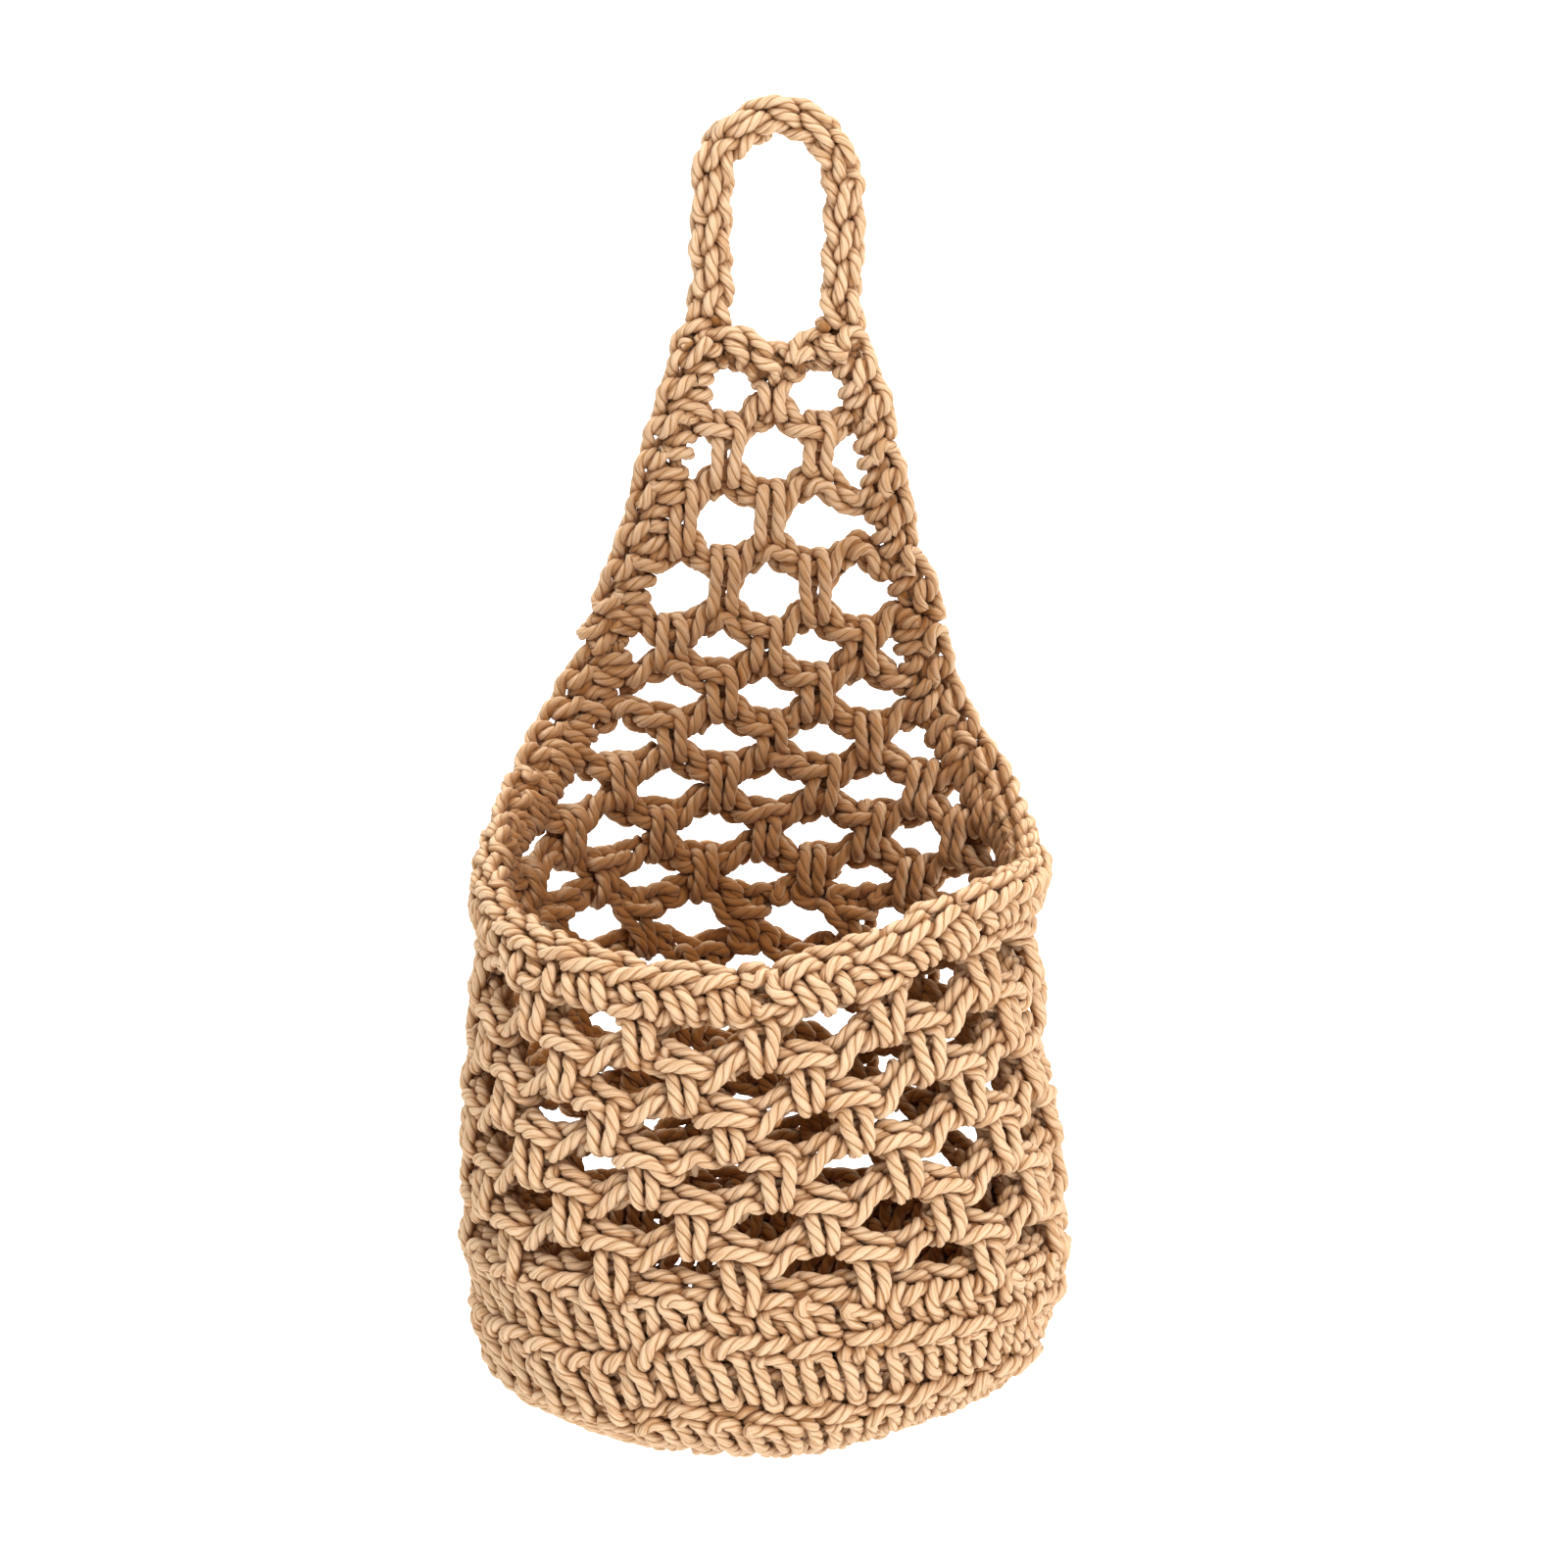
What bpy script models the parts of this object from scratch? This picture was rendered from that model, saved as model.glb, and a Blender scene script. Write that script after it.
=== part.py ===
"""Crocheted hanging wall basket: dense base and lower wall, open mesh body, tapering back panel and loop.

The wall is one surface. A place on it is (along, climb): along is how far round it lies from the middle
of the back, positive towards +X and measured at the rim, and climb is the way up the wall from the
edge of the base. Every worked round, row and border is a strip of that surface with its own thickness.
The dense rounds end at a seam near the front, where the ridge steps up; the mesh rounds are closed.
Units are metres, +Z is up and the front faces -Y. The origin is where a hook carries the loop.
"""
import math
from bisect import bisect_right

import bmesh
import bpy
from mathutils import Matrix, Vector

# Clearances between worked pieces
SEAT_GAP = 0.0003
HEM_GAP = 0.0007
RIM_SEAT_GAP = 0.0005
BRAID_GAP = 0.0006
HINGE_GAP = 0.0003

# Body
BODY_HALF_WIDTH = 0.0752
BODY_DEPTH_SHARE = 0.885
OVAL_POWER = 2.2
OVAL_POINTS = 720
BELLY = 0.0045
RIM_TAPER = 0.003
TURN_RADIUS = 0.020
BASE_THICKNESS = 0.006
BASE_CENTRE_SHARE = 0.36
BASE_INNER_SHARE = 0.68
BASE_SIDES = 42

# Dense wall: each round's height along the wall, and how far the ridge climbs in its turn
WALL_HALF_THICKNESS = 0.0034
TURN_ROUND_HEIGHT = 0.0215
LOWER_ROUND_HEIGHT = 0.0170
UPPER_ROUND_HEIGHT = 0.0133
RIDGE_RISE = 0.0100
WALL_STITCHES = 42
WALL_SEAM_CELLS = -6.3
RIDGE_HALF_HEIGHT = 0.0022
RIDGE_HALF_THICKNESS = 0.0018

# Mesh rounds and rows
CELLS_AROUND = 14
MESH_ROUNDS = 6
BACK_ROWS = 6
PANEL_ROWS = 4
RAIL_HALF_HEIGHT = 0.0036
RAIL_HALF_THICKNESS = 0.0028
BODY_ROW_HEIGHT = 0.0139
BACK_ROW_HEIGHT = 0.0131
PANEL_ROW_HEIGHT = 0.0193
PANEL_CELL = 0.026
LEG_WIDTH = 0.0042
LEG_SLIT = 0.0008
ARCH_RISE = 0.0016
RIM_SEAM_CELLS = -6.9
LAST_ROUND_SHARE = -0.07
LEAN_SHARE = 0.35
LEAST_RAIL_HEIGHT = 0.0010
LEAST_STEP = 0.0008
HEM_STEP = 0.0060

# Lie of the rows: the slack front and the lifted right side
FRONT_SAG = 0.014
FRONT_SAG_POWER = 3
SIDE_LIFT = 0.012
SIDE_LIFT_PLACE = 0.155
SIDE_LIFT_REACH = 0.045

# Borders
BORDER_ROW_WIDTH = 0.0048
BORDER_BRAID_WIDTH = 0.0056
BORDER_HALF_THICKNESS = 0.0030
LEFT_CORNER = 0.080
RIGHT_CORNER = 0.056
LEFT_CORNER_POWER = 1.8
RIGHT_CORNER_POWER = 2.3
SIDE_STEPS = 26
RIM_STEPS = 10
PANEL_SIDE_STEPS = 2

# Upper panel
FOLD_HALF_WIDTH = 0.051
TOP_HALF_WIDTH = 0.0290
FOLD_RADIUS = 0.0038
FLAT_BELOW_FOLD = 0.010
FLATTEN_REACH = 0.050
TOP_DIP = 0.0060
TOP_DIP_HALF_WIDTH = 0.0125
TOP_BRAID_RADIUS = 0.0036
TOP_BRAID_STEPS = 12

# Hanging loop
LOOP_LENGTH = 0.0625
LOOP_FOOT_SPACING = 0.0370
LOOP_TOP_RADIUS = 0.0180
LOOP_HALF_WIDTH = 0.0050
LOOP_HALF_THICKNESS = 0.0030
LOOP_TOP_STEPS = 12

# Finish of the cotton
CORD_LIGHT = (0.83, 0.62, 0.42, 1.0)
CORD_SHADE = (0.66, 0.45, 0.27, 1.0)
CORD_ROUGHNESS = 0.9
SHARP_ANGLE = math.radians(50.0)

# Shares of a strip's section: how thick its edges are, as a share of its middle
EDGE_SHARE = 0.6
HEXAGON_EDGE_SHARE = 0.5
HEXAGON_HEIGHT_SHARE = math.sqrt(3.0) / 2.0

# How finely the wall's slope is measured, as a share of its half thickness, and a search's halvings
SLOPE_STEP_SHARE = 0.05
SEARCH_HALVINGS = 40


def smooth(share):
    """Runs from 0 to 1 with level ends."""
    share = min(1.0, max(0.0, share))
    return share * share * (3.0 - 2.0 * share)


def signed_power(value, power):
    return math.copysign(abs(value) ** power, value)


def unit_oval():
    """The body's oval with a half width of 1, from the back's middle towards +X, and its lengths."""
    points = []
    for k in range(OVAL_POINTS + 1):
        angle = math.tau * k / OVAL_POINTS
        x = signed_power(math.sin(angle), 2.0 / OVAL_POWER)
        y = BODY_DEPTH_SHARE * signed_power(math.cos(angle), 2.0 / OVAL_POWER)
        points.append(Vector((x, y)))
    lengths = [0.0]
    for before, after in zip(points, points[1:]):
        lengths.append(lengths[-1] + (after - before).length)
    return points, lengths


OVAL, OVAL_LENGTHS = unit_oval()

# Places that follow from the sizes above
BASE_MIDDLE = BASE_THICKNESS / 2.0
BASE_EDGE = BODY_HALF_WIDTH - TURN_RADIUS
TURN_CLIMB = TURN_RADIUS * math.pi / 2.0
RIDGE_CLIMB = TURN_ROUND_HEIGHT + LOWER_ROUND_HEIGHT
UPPER_ROUND_CLIMB = RIDGE_CLIMB + UPPER_ROUND_HEIGHT
MESH_START = UPPER_ROUND_CLIMB + SEAT_GAP + RAIL_HALF_HEIGHT
RIM_CLIMB = MESH_START + MESH_ROUNDS * BODY_ROW_HEIGHT
FOLD_ROW = MESH_ROUNDS + BACK_ROWS
TOP_ROW = FOLD_ROW + PANEL_ROWS
FOLD_CLIMB = RIM_CLIMB + BACK_ROWS * BACK_ROW_HEIGHT
TOP_CLIMB = FOLD_CLIMB + PANEL_ROWS * PANEL_ROW_HEIGHT
PANEL_END = TOP_CLIMB + RAIL_HALF_HEIGHT
LOOP_HINGE_CLIMB = PANEL_END + SEAT_GAP + TOP_BRAID_RADIUS * HEXAGON_HEIGHT_SHARE
BORDER_WIDTH = BORDER_ROW_WIDTH + BRAID_GAP + BORDER_BRAID_WIDTH
FOLD_INNER = FOLD_HALF_WIDTH - BORDER_WIDTH
TOP_INNER = TOP_HALF_WIDTH - BORDER_WIDTH
FOLD_CLEARANCE = FOLD_RADIUS + HINGE_GAP
LEGS_HALF_WIDTH = LEG_WIDTH + LEG_SLIT / 2.0
SLOPE_STEP = WALL_HALF_THICKNESS * SLOPE_STEP_SHARE


def height_of(climb):
    """Height above the base's underside."""
    if climb < TURN_CLIMB:
        return BASE_MIDDLE + TURN_RADIUS * (1.0 - math.cos(climb / TURN_RADIUS))
    return BASE_MIDDLE + TURN_RADIUS + climb - TURN_CLIMB


def half_width_at(climb):
    """The wall's half width: the turn out of the base, then a belly that draws in towards the rim."""
    if climb < TURN_CLIMB:
        return BASE_EDGE + TURN_RADIUS * math.sin(climb / TURN_RADIUS)
    share = min(1.0, (climb - TURN_CLIMB) / (RIM_CLIMB - TURN_CLIMB))
    return BODY_HALF_WIDTH + BELLY * math.sin(math.pi * share) - RIM_TAPER * share * share


RIM_HALF_WIDTH = half_width_at(RIM_CLIMB)
RIM_PERIMETER = RIM_HALF_WIDTH * OVAL_LENGTHS[-1]
BACK_PLANE = RIM_HALF_WIDTH * BODY_DEPTH_SHARE
BODY_CELL = RIM_PERIMETER / CELLS_AROUND

# A hook carries the loop at its top's underside, which is the origin.
LOOP_TOP_CLIMB = LOOP_HINGE_CLIMB + LOOP_LENGTH
LOOP_SEAT_CLIMB = LOOP_TOP_CLIMB - 2.0 * LOOP_HALF_WIDTH
ORIGIN = Vector((0.0, BACK_PLANE, height_of(LOOP_SEAT_CLIMB)))


def oval_point(turns):
    """The unit oval's point after a share of a turn from the back's middle."""
    length = (turns % 1.0) * OVAL_LENGTHS[-1]
    k = min(bisect_right(OVAL_LENGTHS, length), OVAL_POINTS) - 1
    share = (length - OVAL_LENGTHS[k]) / (OVAL_LENGTHS[k + 1] - OVAL_LENGTHS[k])
    return OVAL[k].lerp(OVAL[k + 1], share)


def flatness(climb):
    """0 on the round body and 1 on the flat upper panel."""
    flat_climb = FOLD_CLIMB - FLAT_BELOW_FOLD
    return smooth((climb - flat_climb + FLATTEN_REACH) / FLATTEN_REACH)


def middle_point(along, climb):
    """The middle of the wall's thickness."""
    x, y = oval_point(along / RIM_PERIMETER) * half_width_at(climb)
    flat = flatness(climb)
    return Vector((x + (along - x) * flat, y + (BACK_PLANE - y) * flat, height_of(climb)))


def outward(along, climb):
    """The wall's normal, pointing out of the basket."""
    low = max(0.0, climb - SLOPE_STEP)
    upward = middle_point(along, low + 2.0 * SLOPE_STEP) - middle_point(along, low)
    sideways = middle_point(along + SLOPE_STEP, climb) - middle_point(along - SLOPE_STEP, climb)
    return upward.cross(sideways).normalized()


def wall_point(place, out):
    along, climb = place
    return middle_point(along, climb) + outward(along, climb) * out


def settle(along, climb, level):
    """How far a mesh row lies above its own climb by the slack front and the lifted side.

    level runs from 0 at the mesh's foot to 1 at the rim. All of it fades out towards the flat panel.
    """
    turns = along / RIM_PERIMETER
    front = (1.0 - math.cos(math.tau * turns)) / 2.0
    beside = (turns - SIDE_LIFT_PLACE / RIM_PERIMETER + 0.5) % 1.0 - 0.5
    lift = SIDE_LIFT * math.exp(-((beside * RIM_PERIMETER / SIDE_LIFT_REACH) ** 2))
    return level * (lift - FRONT_SAG * front ** FRONT_SAG_POWER) * (1.0 - flatness(climb))


def dense_climb(along, climb):
    """A dense round's edge. The ridge climbs round the wall; the base and the mesh's foot are level."""
    if climb < RIDGE_CLIMB:
        share = climb / RIDGE_CLIMB
    else:
        share = (MESH_START - climb) / (MESH_START - RIDGE_CLIMB)
    return climb + RIDGE_RISE * share * along / RIM_PERIMETER


def row_level_climb(row):
    """A mesh row's climb at the back. Row 0 is the braid that the mesh starts from."""
    body = min(row, MESH_ROUNDS)
    back = min(max(row - MESH_ROUNDS, 0), BACK_ROWS)
    panel = max(row - FOLD_ROW, 0)
    return MESH_START + body * BODY_ROW_HEIGHT + back * BACK_ROW_HEIGHT + panel * PANEL_ROW_HEIGHT


def row_climb(row, along):
    """The middle of a row's rail, where its own clusters hang from it."""
    level_climb = row_level_climb(row)
    climb = level_climb + settle(along, level_climb, min(1.0, row / MESH_ROUNDS))
    if row == TOP_ROW:
        climb -= top_dip(along)
    return climb


def top_dip(along):
    """The top edge hangs a little between the loop's feet."""
    return TOP_DIP * (1.0 - smooth(abs(along) / TOP_DIP_HALF_WIDTH))


def arch_rise(row):
    """How far the row's arches are pulled up between its clusters."""
    return 0.0 if row in (0, FOLD_ROW, TOP_ROW) else ARCH_RISE


def row_offset(row):
    """Where a row's clusters stand in its cells. They lean on the round body and alternate above it."""
    if row > MESH_ROUNDS:
        return (row % 2) / 2.0
    return (LAST_ROUND_SHARE - LEAN_SHARE * (MESH_ROUNDS - row)) % 1.0


def cell_length(row):
    """A cell of the round body, drawn in towards the stretched upper panel."""
    share = smooth((row_level_climb(row) - RIM_CLIMB) / (FOLD_CLIMB - RIM_CLIMB))
    return BODY_CELL + (PANEL_CELL - BODY_CELL) * share


def rail_half_height(row):
    return FOLD_RADIUS * HEXAGON_HEIGHT_SHARE if row == FOLD_ROW else RAIL_HALF_HEIGHT


def rail_seat(row, along):
    """Where the next row's clusters stand on this row's arches."""
    if row == FOLD_ROW:
        return FOLD_CLIMB + FOLD_CLEARANCE
    return row_climb(row, along) + arch_rise(row) + RAIL_HALF_HEIGHT + RIM_SEAT_GAP


def corner_distance(side):
    """How far along the border leaves the front rim, on the left (-1) or the right (1)."""
    return RIM_PERIMETER / 2.0 - (LEFT_CORNER if side < 0 else RIGHT_CORNER)


def corner_power(side):
    """How squarely the side border turns from the rim up to the fold."""
    return LEFT_CORNER_POWER if side < 0 else RIGHT_CORNER_POWER


def hem_climb(along, down):
    """A climb between the last mesh round (down is 1) and the fold (down is 0)."""
    return FOLD_CLIMB - (FOLD_CLIMB - rail_seat(MESH_ROUNDS, along)) * down


def hem_place(side, share):
    """The side border's inner edge: share 0 at the rim's corner, 1 at the fold."""
    corner = corner_distance(side)
    angle = math.pi / 2.0 * share
    across = max(0.0, math.sin(angle)) ** (2.0 / corner_power(side))
    down = max(0.0, math.cos(angle)) ** (2.0 / corner_power(side))
    along = side * (corner - (corner - FOLD_INNER) * across)
    return Vector((along, hem_climb(along, down)))


def hem_limit(row, along):
    """The highest that a row's rail may reach under the border."""
    side = -1 if along < 0.0 else 1
    distance = abs(along) + HEM_GAP
    if row > FOLD_ROW:
        share = (FOLD_INNER - distance) / (FOLD_INNER - TOP_INNER)
        return math.inf if share > 1.0 else FOLD_CLIMB + share * (PANEL_END - FOLD_CLIMB)
    corner = corner_distance(side)
    if distance <= FOLD_INNER:
        return math.inf
    if distance >= corner:
        return -math.inf
    across = (corner - distance) / (corner - FOLD_INNER)
    down = (1.0 - across ** corner_power(side)) ** (1.0 / corner_power(side))
    return hem_climb(side * distance, down) - HEM_GAP


def hinge_place(climb):
    """The middle of a hinge's axis, which runs along X through the flat panel."""
    return Vector((0.0, BACK_PLANE, height_of(climb))) - ORIGIN


def hinge_empty(name, climb, pieces):
    """An empty on a hinge's axis, which carries the pieces that swing about it."""
    place = hinge_place(climb)
    hinge = bpy.data.objects.new(name, None)
    hinge.location = place
    bpy.context.scene.collection.objects.link(hinge)
    for piece in pieces:
        piece.parent = hinge
        piece.matrix_parent_inverse = Matrix.Translation(-place)
    return hinge


def new_object(name, builder, color):
    """One closed solid as an object, with the loop's carrying point at the origin."""
    for vertex in builder.verts:
        vertex.co -= ORIGIN
    bmesh.ops.recalc_face_normals(builder, faces=builder.faces)
    mesh = bpy.data.meshes.new(name)
    builder.to_mesh(mesh)
    builder.free()
    mesh.shade_smooth()
    mesh.set_sharp_from_angle(angle=SHARP_ANGLE)
    mesh.materials.append(cotton(name, color))
    solid = bpy.data.objects.new(name, mesh)
    bpy.context.scene.collection.objects.link(solid)
    return solid


def cotton(name, color):
    material = bpy.data.materials.new(name)
    material.use_nodes = True
    shader = material.node_tree.nodes["Principled BSDF"]
    shader.inputs["Base Color"].default_value = color
    shader.inputs["Roughness"].default_value = CORD_ROUGHNESS
    shader.inputs["Metallic"].default_value = 0.0
    return material


def section(low, high, half_thickness, edge_share=EDGE_SHARE, out=0.0):
    """Six points round a strip whose edges are two places on the wall."""
    middle = ((low[0] + high[0]) / 2.0, (low[1] + high[1]) / 2.0)
    edge = half_thickness * edge_share
    return [
        wall_point(low, out + edge),
        wall_point(middle, out + half_thickness),
        wall_point(high, out + edge),
        wall_point(high, out - edge),
        wall_point(middle, out - half_thickness),
        wall_point(low, out - edge),
    ]


def strip(name, sections, color, closed=False, legs=None):
    """A strip through its sections. legs maps a step to the four corners of the foot below it."""
    builder = bmesh.new()
    legs = legs or {}
    rings = [[builder.verts.new(point) for point in ring] for ring in sections]
    steps = len(rings) if closed else len(rings) - 1
    for k in range(steps):
        here, there = rings[k], rings[(k + 1) % len(rings)]
        for side in range(len(here) - 1):
            builder.faces.new((here[side], here[side + 1], there[side + 1], there[side]))
        bottom = (here[-1], here[0], there[0], there[-1])
        if k in legs:
            foot = [builder.verts.new(point) for point in legs[k]]
            for j in range(4):
                after = (j + 1) % 4
                builder.faces.new((bottom[j], bottom[after], foot[after], foot[j]))
            builder.faces.new(foot)
        else:
            builder.faces.new(bottom)
    if not closed:
        builder.faces.new(rings[0])
        builder.faces.new(list(reversed(rings[-1])))
    return new_object(name, builder, color)


def base_point(direction, reach, height):
    return Vector((direction[0] * reach, direction[1] * reach, height))


def base_disc(name, radius_share):
    """The base's crocheted middle, flat above and below."""
    reach = BASE_EDGE * radius_share - SEAT_GAP
    builder = bmesh.new()
    rings = []
    for height in (0.0, BASE_THICKNESS):
        directions = [oval_point(k / BASE_SIDES) for k in range(BASE_SIDES)]
        rings.append([builder.verts.new(base_point(d, reach, height)) for d in directions])
    for k in range(BASE_SIDES):
        after = (k + 1) % BASE_SIDES
        builder.faces.new((rings[0][k], rings[0][after], rings[1][after], rings[1][k]))
    builder.faces.new(rings[0])
    builder.faces.new(list(reversed(rings[1])))
    return new_object(name, builder, CORD_SHADE)


def base_ring(name, inner_share, outer_share):
    """A flat crocheted round of the base."""
    inner = BASE_EDGE * inner_share
    outer = BASE_EDGE * outer_share - SEAT_GAP
    sections = []
    for k in range(BASE_SIDES):
        direction = oval_point(k / BASE_SIDES)
        sections.append([
            base_point(direction, outer, 0.0),
            base_point(direction, outer, BASE_THICKNESS),
            base_point(direction, inner, BASE_THICKNESS),
            base_point(direction, inner, 0.0),
        ])
    return strip(name, sections, CORD_SHADE, closed=True)


def turn_places(count):
    """Places along one turn of the dense wall, from its seam round to its seam."""
    start = WALL_SEAM_CELLS * BODY_CELL
    turn = RIM_PERIMETER - SEAT_GAP
    return [start + turn * k / count for k in range(count + 1)]


def dense_round(name, low_climb, high_climb):
    sections = []
    for along in turn_places(WALL_STITCHES):
        low = (along, dense_climb(along, low_climb))
        high = (along, dense_climb(along, high_climb))
        sections.append(section(low, high, WALL_HALF_THICKNESS))
    return strip(name, sections, CORD_LIGHT)


def ridge_braid():
    """The free front loops that stand out between the two lower dense rounds and the upper one."""
    out = WALL_HALF_THICKNESS * EDGE_SHARE + SEAT_GAP + RIDGE_HALF_THICKNESS
    sections = []
    for along in turn_places(WALL_STITCHES):
        middle = dense_climb(along, RIDGE_CLIMB)
        low = (along, middle - RIDGE_HALF_HEIGHT)
        high = (along, middle + RIDGE_HALF_HEIGHT)
        sections.append(section(low, high, RIDGE_HALF_THICKNESS, HEXAGON_EDGE_SHARE, out))
    return strip("ridge_braid", sections, CORD_LIGHT)


def wall_top_braid():
    sections = []
    for along in turn_places(WALL_STITCHES):
        low = (along, dense_climb(along, UPPER_ROUND_CLIMB) + SEAT_GAP)
        high = (along, row_climb(0, along) + RAIL_HALF_HEIGHT)
        sections.append(section(low, high, RAIL_HALF_THICKNESS))
    return strip("wall_top_braid", sections, CORD_LIGHT)


def rail_room(row, along):
    """The rail's height that fits under the border at a place."""
    low = row_climb(row, along) - rail_half_height(row)
    return min(low + 2.0 * rail_half_height(row), hem_limit(row, along)) - low


def spare_height(row, along):
    """The height left between an unraised rail and the border above it."""
    if row <= MESH_ROUNDS:
        return math.inf
    return max(0.0, hem_limit(row, along) - row_climb(row, along) - rail_half_height(row))


def rail_end(row, side, room):
    """How far the row's rail goes before less than this much height fits under the border."""
    near, far = 0.0, corner_distance(side)
    for _ in range(SEARCH_HALVINGS):
        middle = (near + far) / 2.0
        if rail_room(row, side * middle) > room:
            near = middle
        else:
            far = middle
    return side * near


def open_range(row):
    """The stretch of a row that lies between the side borders."""
    return rail_end(row, -1, LEAST_RAIL_HEIGHT), rail_end(row, 1, LEAST_RAIL_HEIGHT)


def rail_range(row):
    """Where a row's rail starts and ends. A closed round starts midway between two of its clusters."""
    if row <= MESH_ROUNDS:
        start = (row_offset(row) - (CELLS_AROUND + 1) / 2.0) * BODY_CELL
        return start, start + RIM_PERIMETER
    if row == FOLD_ROW:
        return -FOLD_HALF_WIDTH, FOLD_HALF_WIDTH
    return open_range(row)


def cell_places(row, offset):
    """The places k + offset, in cells, that lie with a cluster's whole width on the row."""
    first, last = open_range(row) if row == FOLD_ROW else rail_range(row)
    room = LEGS_HALF_WIDTH + LEAST_STEP
    middles = [k + offset for k in range(-CELLS_AROUND, CELLS_AROUND + 1)]
    return [m for m in middles if first + room < m * cell_length(row) < last - room]


def leg_edges(middle):
    """The edges of a cluster's two legs along the row."""
    slit = LEG_SLIT / 2.0
    return [middle - LEGS_HALF_WIDTH, middle - slit, middle + slit, middle + LEGS_HALF_WIDTH]


def rail_places(row):
    """Where a rail has sections, the rise of the arch at each, and the steps that carry legs."""
    first, last = rail_range(row)
    cell = cell_length(row)
    legs, arches, fixed = [], [], []
    for index in cell_places(row, row_offset(row)):
        edges = leg_edges(index * cell)
        legs += [(edges[0], index, -1), (edges[2], index, 1)]
        fixed += edges
    for k in range(-CELLS_AROUND, CELLS_AROUND + 1):
        middle = (k + row_offset(row + 1)) * cell
        arches.append(middle)
        fixed += [middle - LEGS_HALF_WIDTH, middle + LEGS_HALF_WIDTH]
    free = []
    if row > MESH_ROUNDS and row != FOLD_ROW:
        for side in (-1, 1):
            end = abs(rail_range(row)[0 if side < 0 else 1])
            clip = abs(rail_end(row, side, 2.0 * RAIL_HALF_HEIGHT - SEAT_GAP))
            steps = max(1, math.ceil((end - clip) / HEM_STEP))
            free += [side * (clip + (end - clip) * k / steps) for k in range(steps)]
    kept = [place for place in sorted(fixed) if first + LEAST_STEP < place < last - LEAST_STEP]
    in_legs = [(start - LEAST_STEP, start + LEG_WIDTH + LEAST_STEP) for start, _, _ in legs]
    for place in free:
        clear = all(abs(place - other) > LEAST_STEP for other in kept)
        if clear and not any(low < place < high for low, high in in_legs):
            kept.append(place)
    places = sorted(kept) if row <= MESH_ROUNDS else [first] + sorted(kept) + [last]
    rises = []
    for place in places:
        nearest = min(abs(place - middle) for middle in arches)
        on_arch = nearest <= LEGS_HALF_WIDTH + LEAST_STEP / 2.0
        rises.append(min(arch_rise(row), spare_height(row, place)) if on_arch else 0.0)
    return places, rises, legs


def leg_foot(row, index, side, half_thickness):
    """The four corners where a leg stands on the arch of the row below."""
    below = row - 1
    middle = index * cell_length(below)
    edges = leg_edges(middle)
    start, end = (edges[0], edges[1]) if side < 0 else (edges[2], edges[3])
    edge = half_thickness * EDGE_SHARE
    start_place = (start, rail_seat(below, start))
    end_place = (end, rail_seat(below, end))
    return [
        wall_point(start_place, -edge),
        wall_point(start_place, edge),
        wall_point(end_place, edge),
        wall_point(end_place, -edge),
    ]


def mesh_row(name, row, color):
    """A rail of cord arches with its stitch clusters, which stand on the row below."""
    places, rises, legs = rail_places(row)
    folds = row == FOLD_ROW
    half_thickness = FOLD_RADIUS if folds else RAIL_HALF_THICKNESS
    edge_share = HEXAGON_EDGE_SHARE if folds else EDGE_SHARE
    sections = []
    for along, rise in zip(places, rises):
        low = row_climb(row, along) + rise - rail_half_height(row)
        high = low + 2.0 * rail_half_height(row)
        if row > MESH_ROUNDS and not folds:
            high = max(low + LEAST_RAIL_HEIGHT, min(high, hem_limit(row, along)))
        sections.append(section((along, low), (along, high), half_thickness, edge_share))
    feet = {}
    for start, index, side in legs:
        feet[places.index(start)] = leg_foot(row, index, side, half_thickness)
    return strip(name, sections, color, closed=row <= MESH_ROUNDS, legs=feet)


def side_normal(side, share):
    """The direction from the side border's inner edge to its outer edge, on the unrolled wall."""
    step = 1.0 / SIDE_STEPS / SIDE_STEPS
    before = hem_place(side, max(0.0, share - step))
    after = hem_place(side, min(1.0, share + step))
    forward = (after - before).normalized()
    return Vector((side * forward.y, -side * forward.x))


def side_strip(name, side, inner, outer):
    """A border strip from the rim's corner up to the fold, where it stops clear of the fold's rail."""
    limit = FOLD_CLIMB - FOLD_CLEARANCE
    drop = FOLD_CLIMB - rail_seat(MESH_ROUNDS, side * FOLD_INNER)
    end = math.acos((FOLD_CLEARANCE / drop) ** (corner_power(side) / 2.0)) / (math.pi / 2.0)
    sections = []
    for k in range(SIDE_STEPS + 1):
        share = end * k / SIDE_STEPS
        place = hem_place(side, share)
        normal = side_normal(side, share) if k > 0 else Vector((0.0, 1.0))
        low, high = place + normal * inner, place + normal * outer
        low.y, high.y = min(low.y, limit), min(high.y, limit)
        sections.append(section(low, high, BORDER_HALF_THICKNESS))
    return strip(name, sections, CORD_LIGHT)


def rim_strip(name, side, inner, outer):
    """A border strip on the last mesh round, from the rim's seam to its corner."""
    seam = RIM_SEAM_CELLS * BODY_CELL
    if side < 0:
        start, end = seam, -corner_distance(side) - SEAT_GAP
    else:
        start, end = corner_distance(side) + SEAT_GAP, seam + RIM_PERIMETER - SEAT_GAP
    sections = []
    for k in range(RIM_STEPS + 1):
        along = start + (end - start) * k / RIM_STEPS
        foot = rail_seat(MESH_ROUNDS, along)
        sections.append(section((along, foot + inner), (along, foot + outer), BORDER_HALF_THICKNESS))
    return strip(name, sections, CORD_LIGHT)


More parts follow.
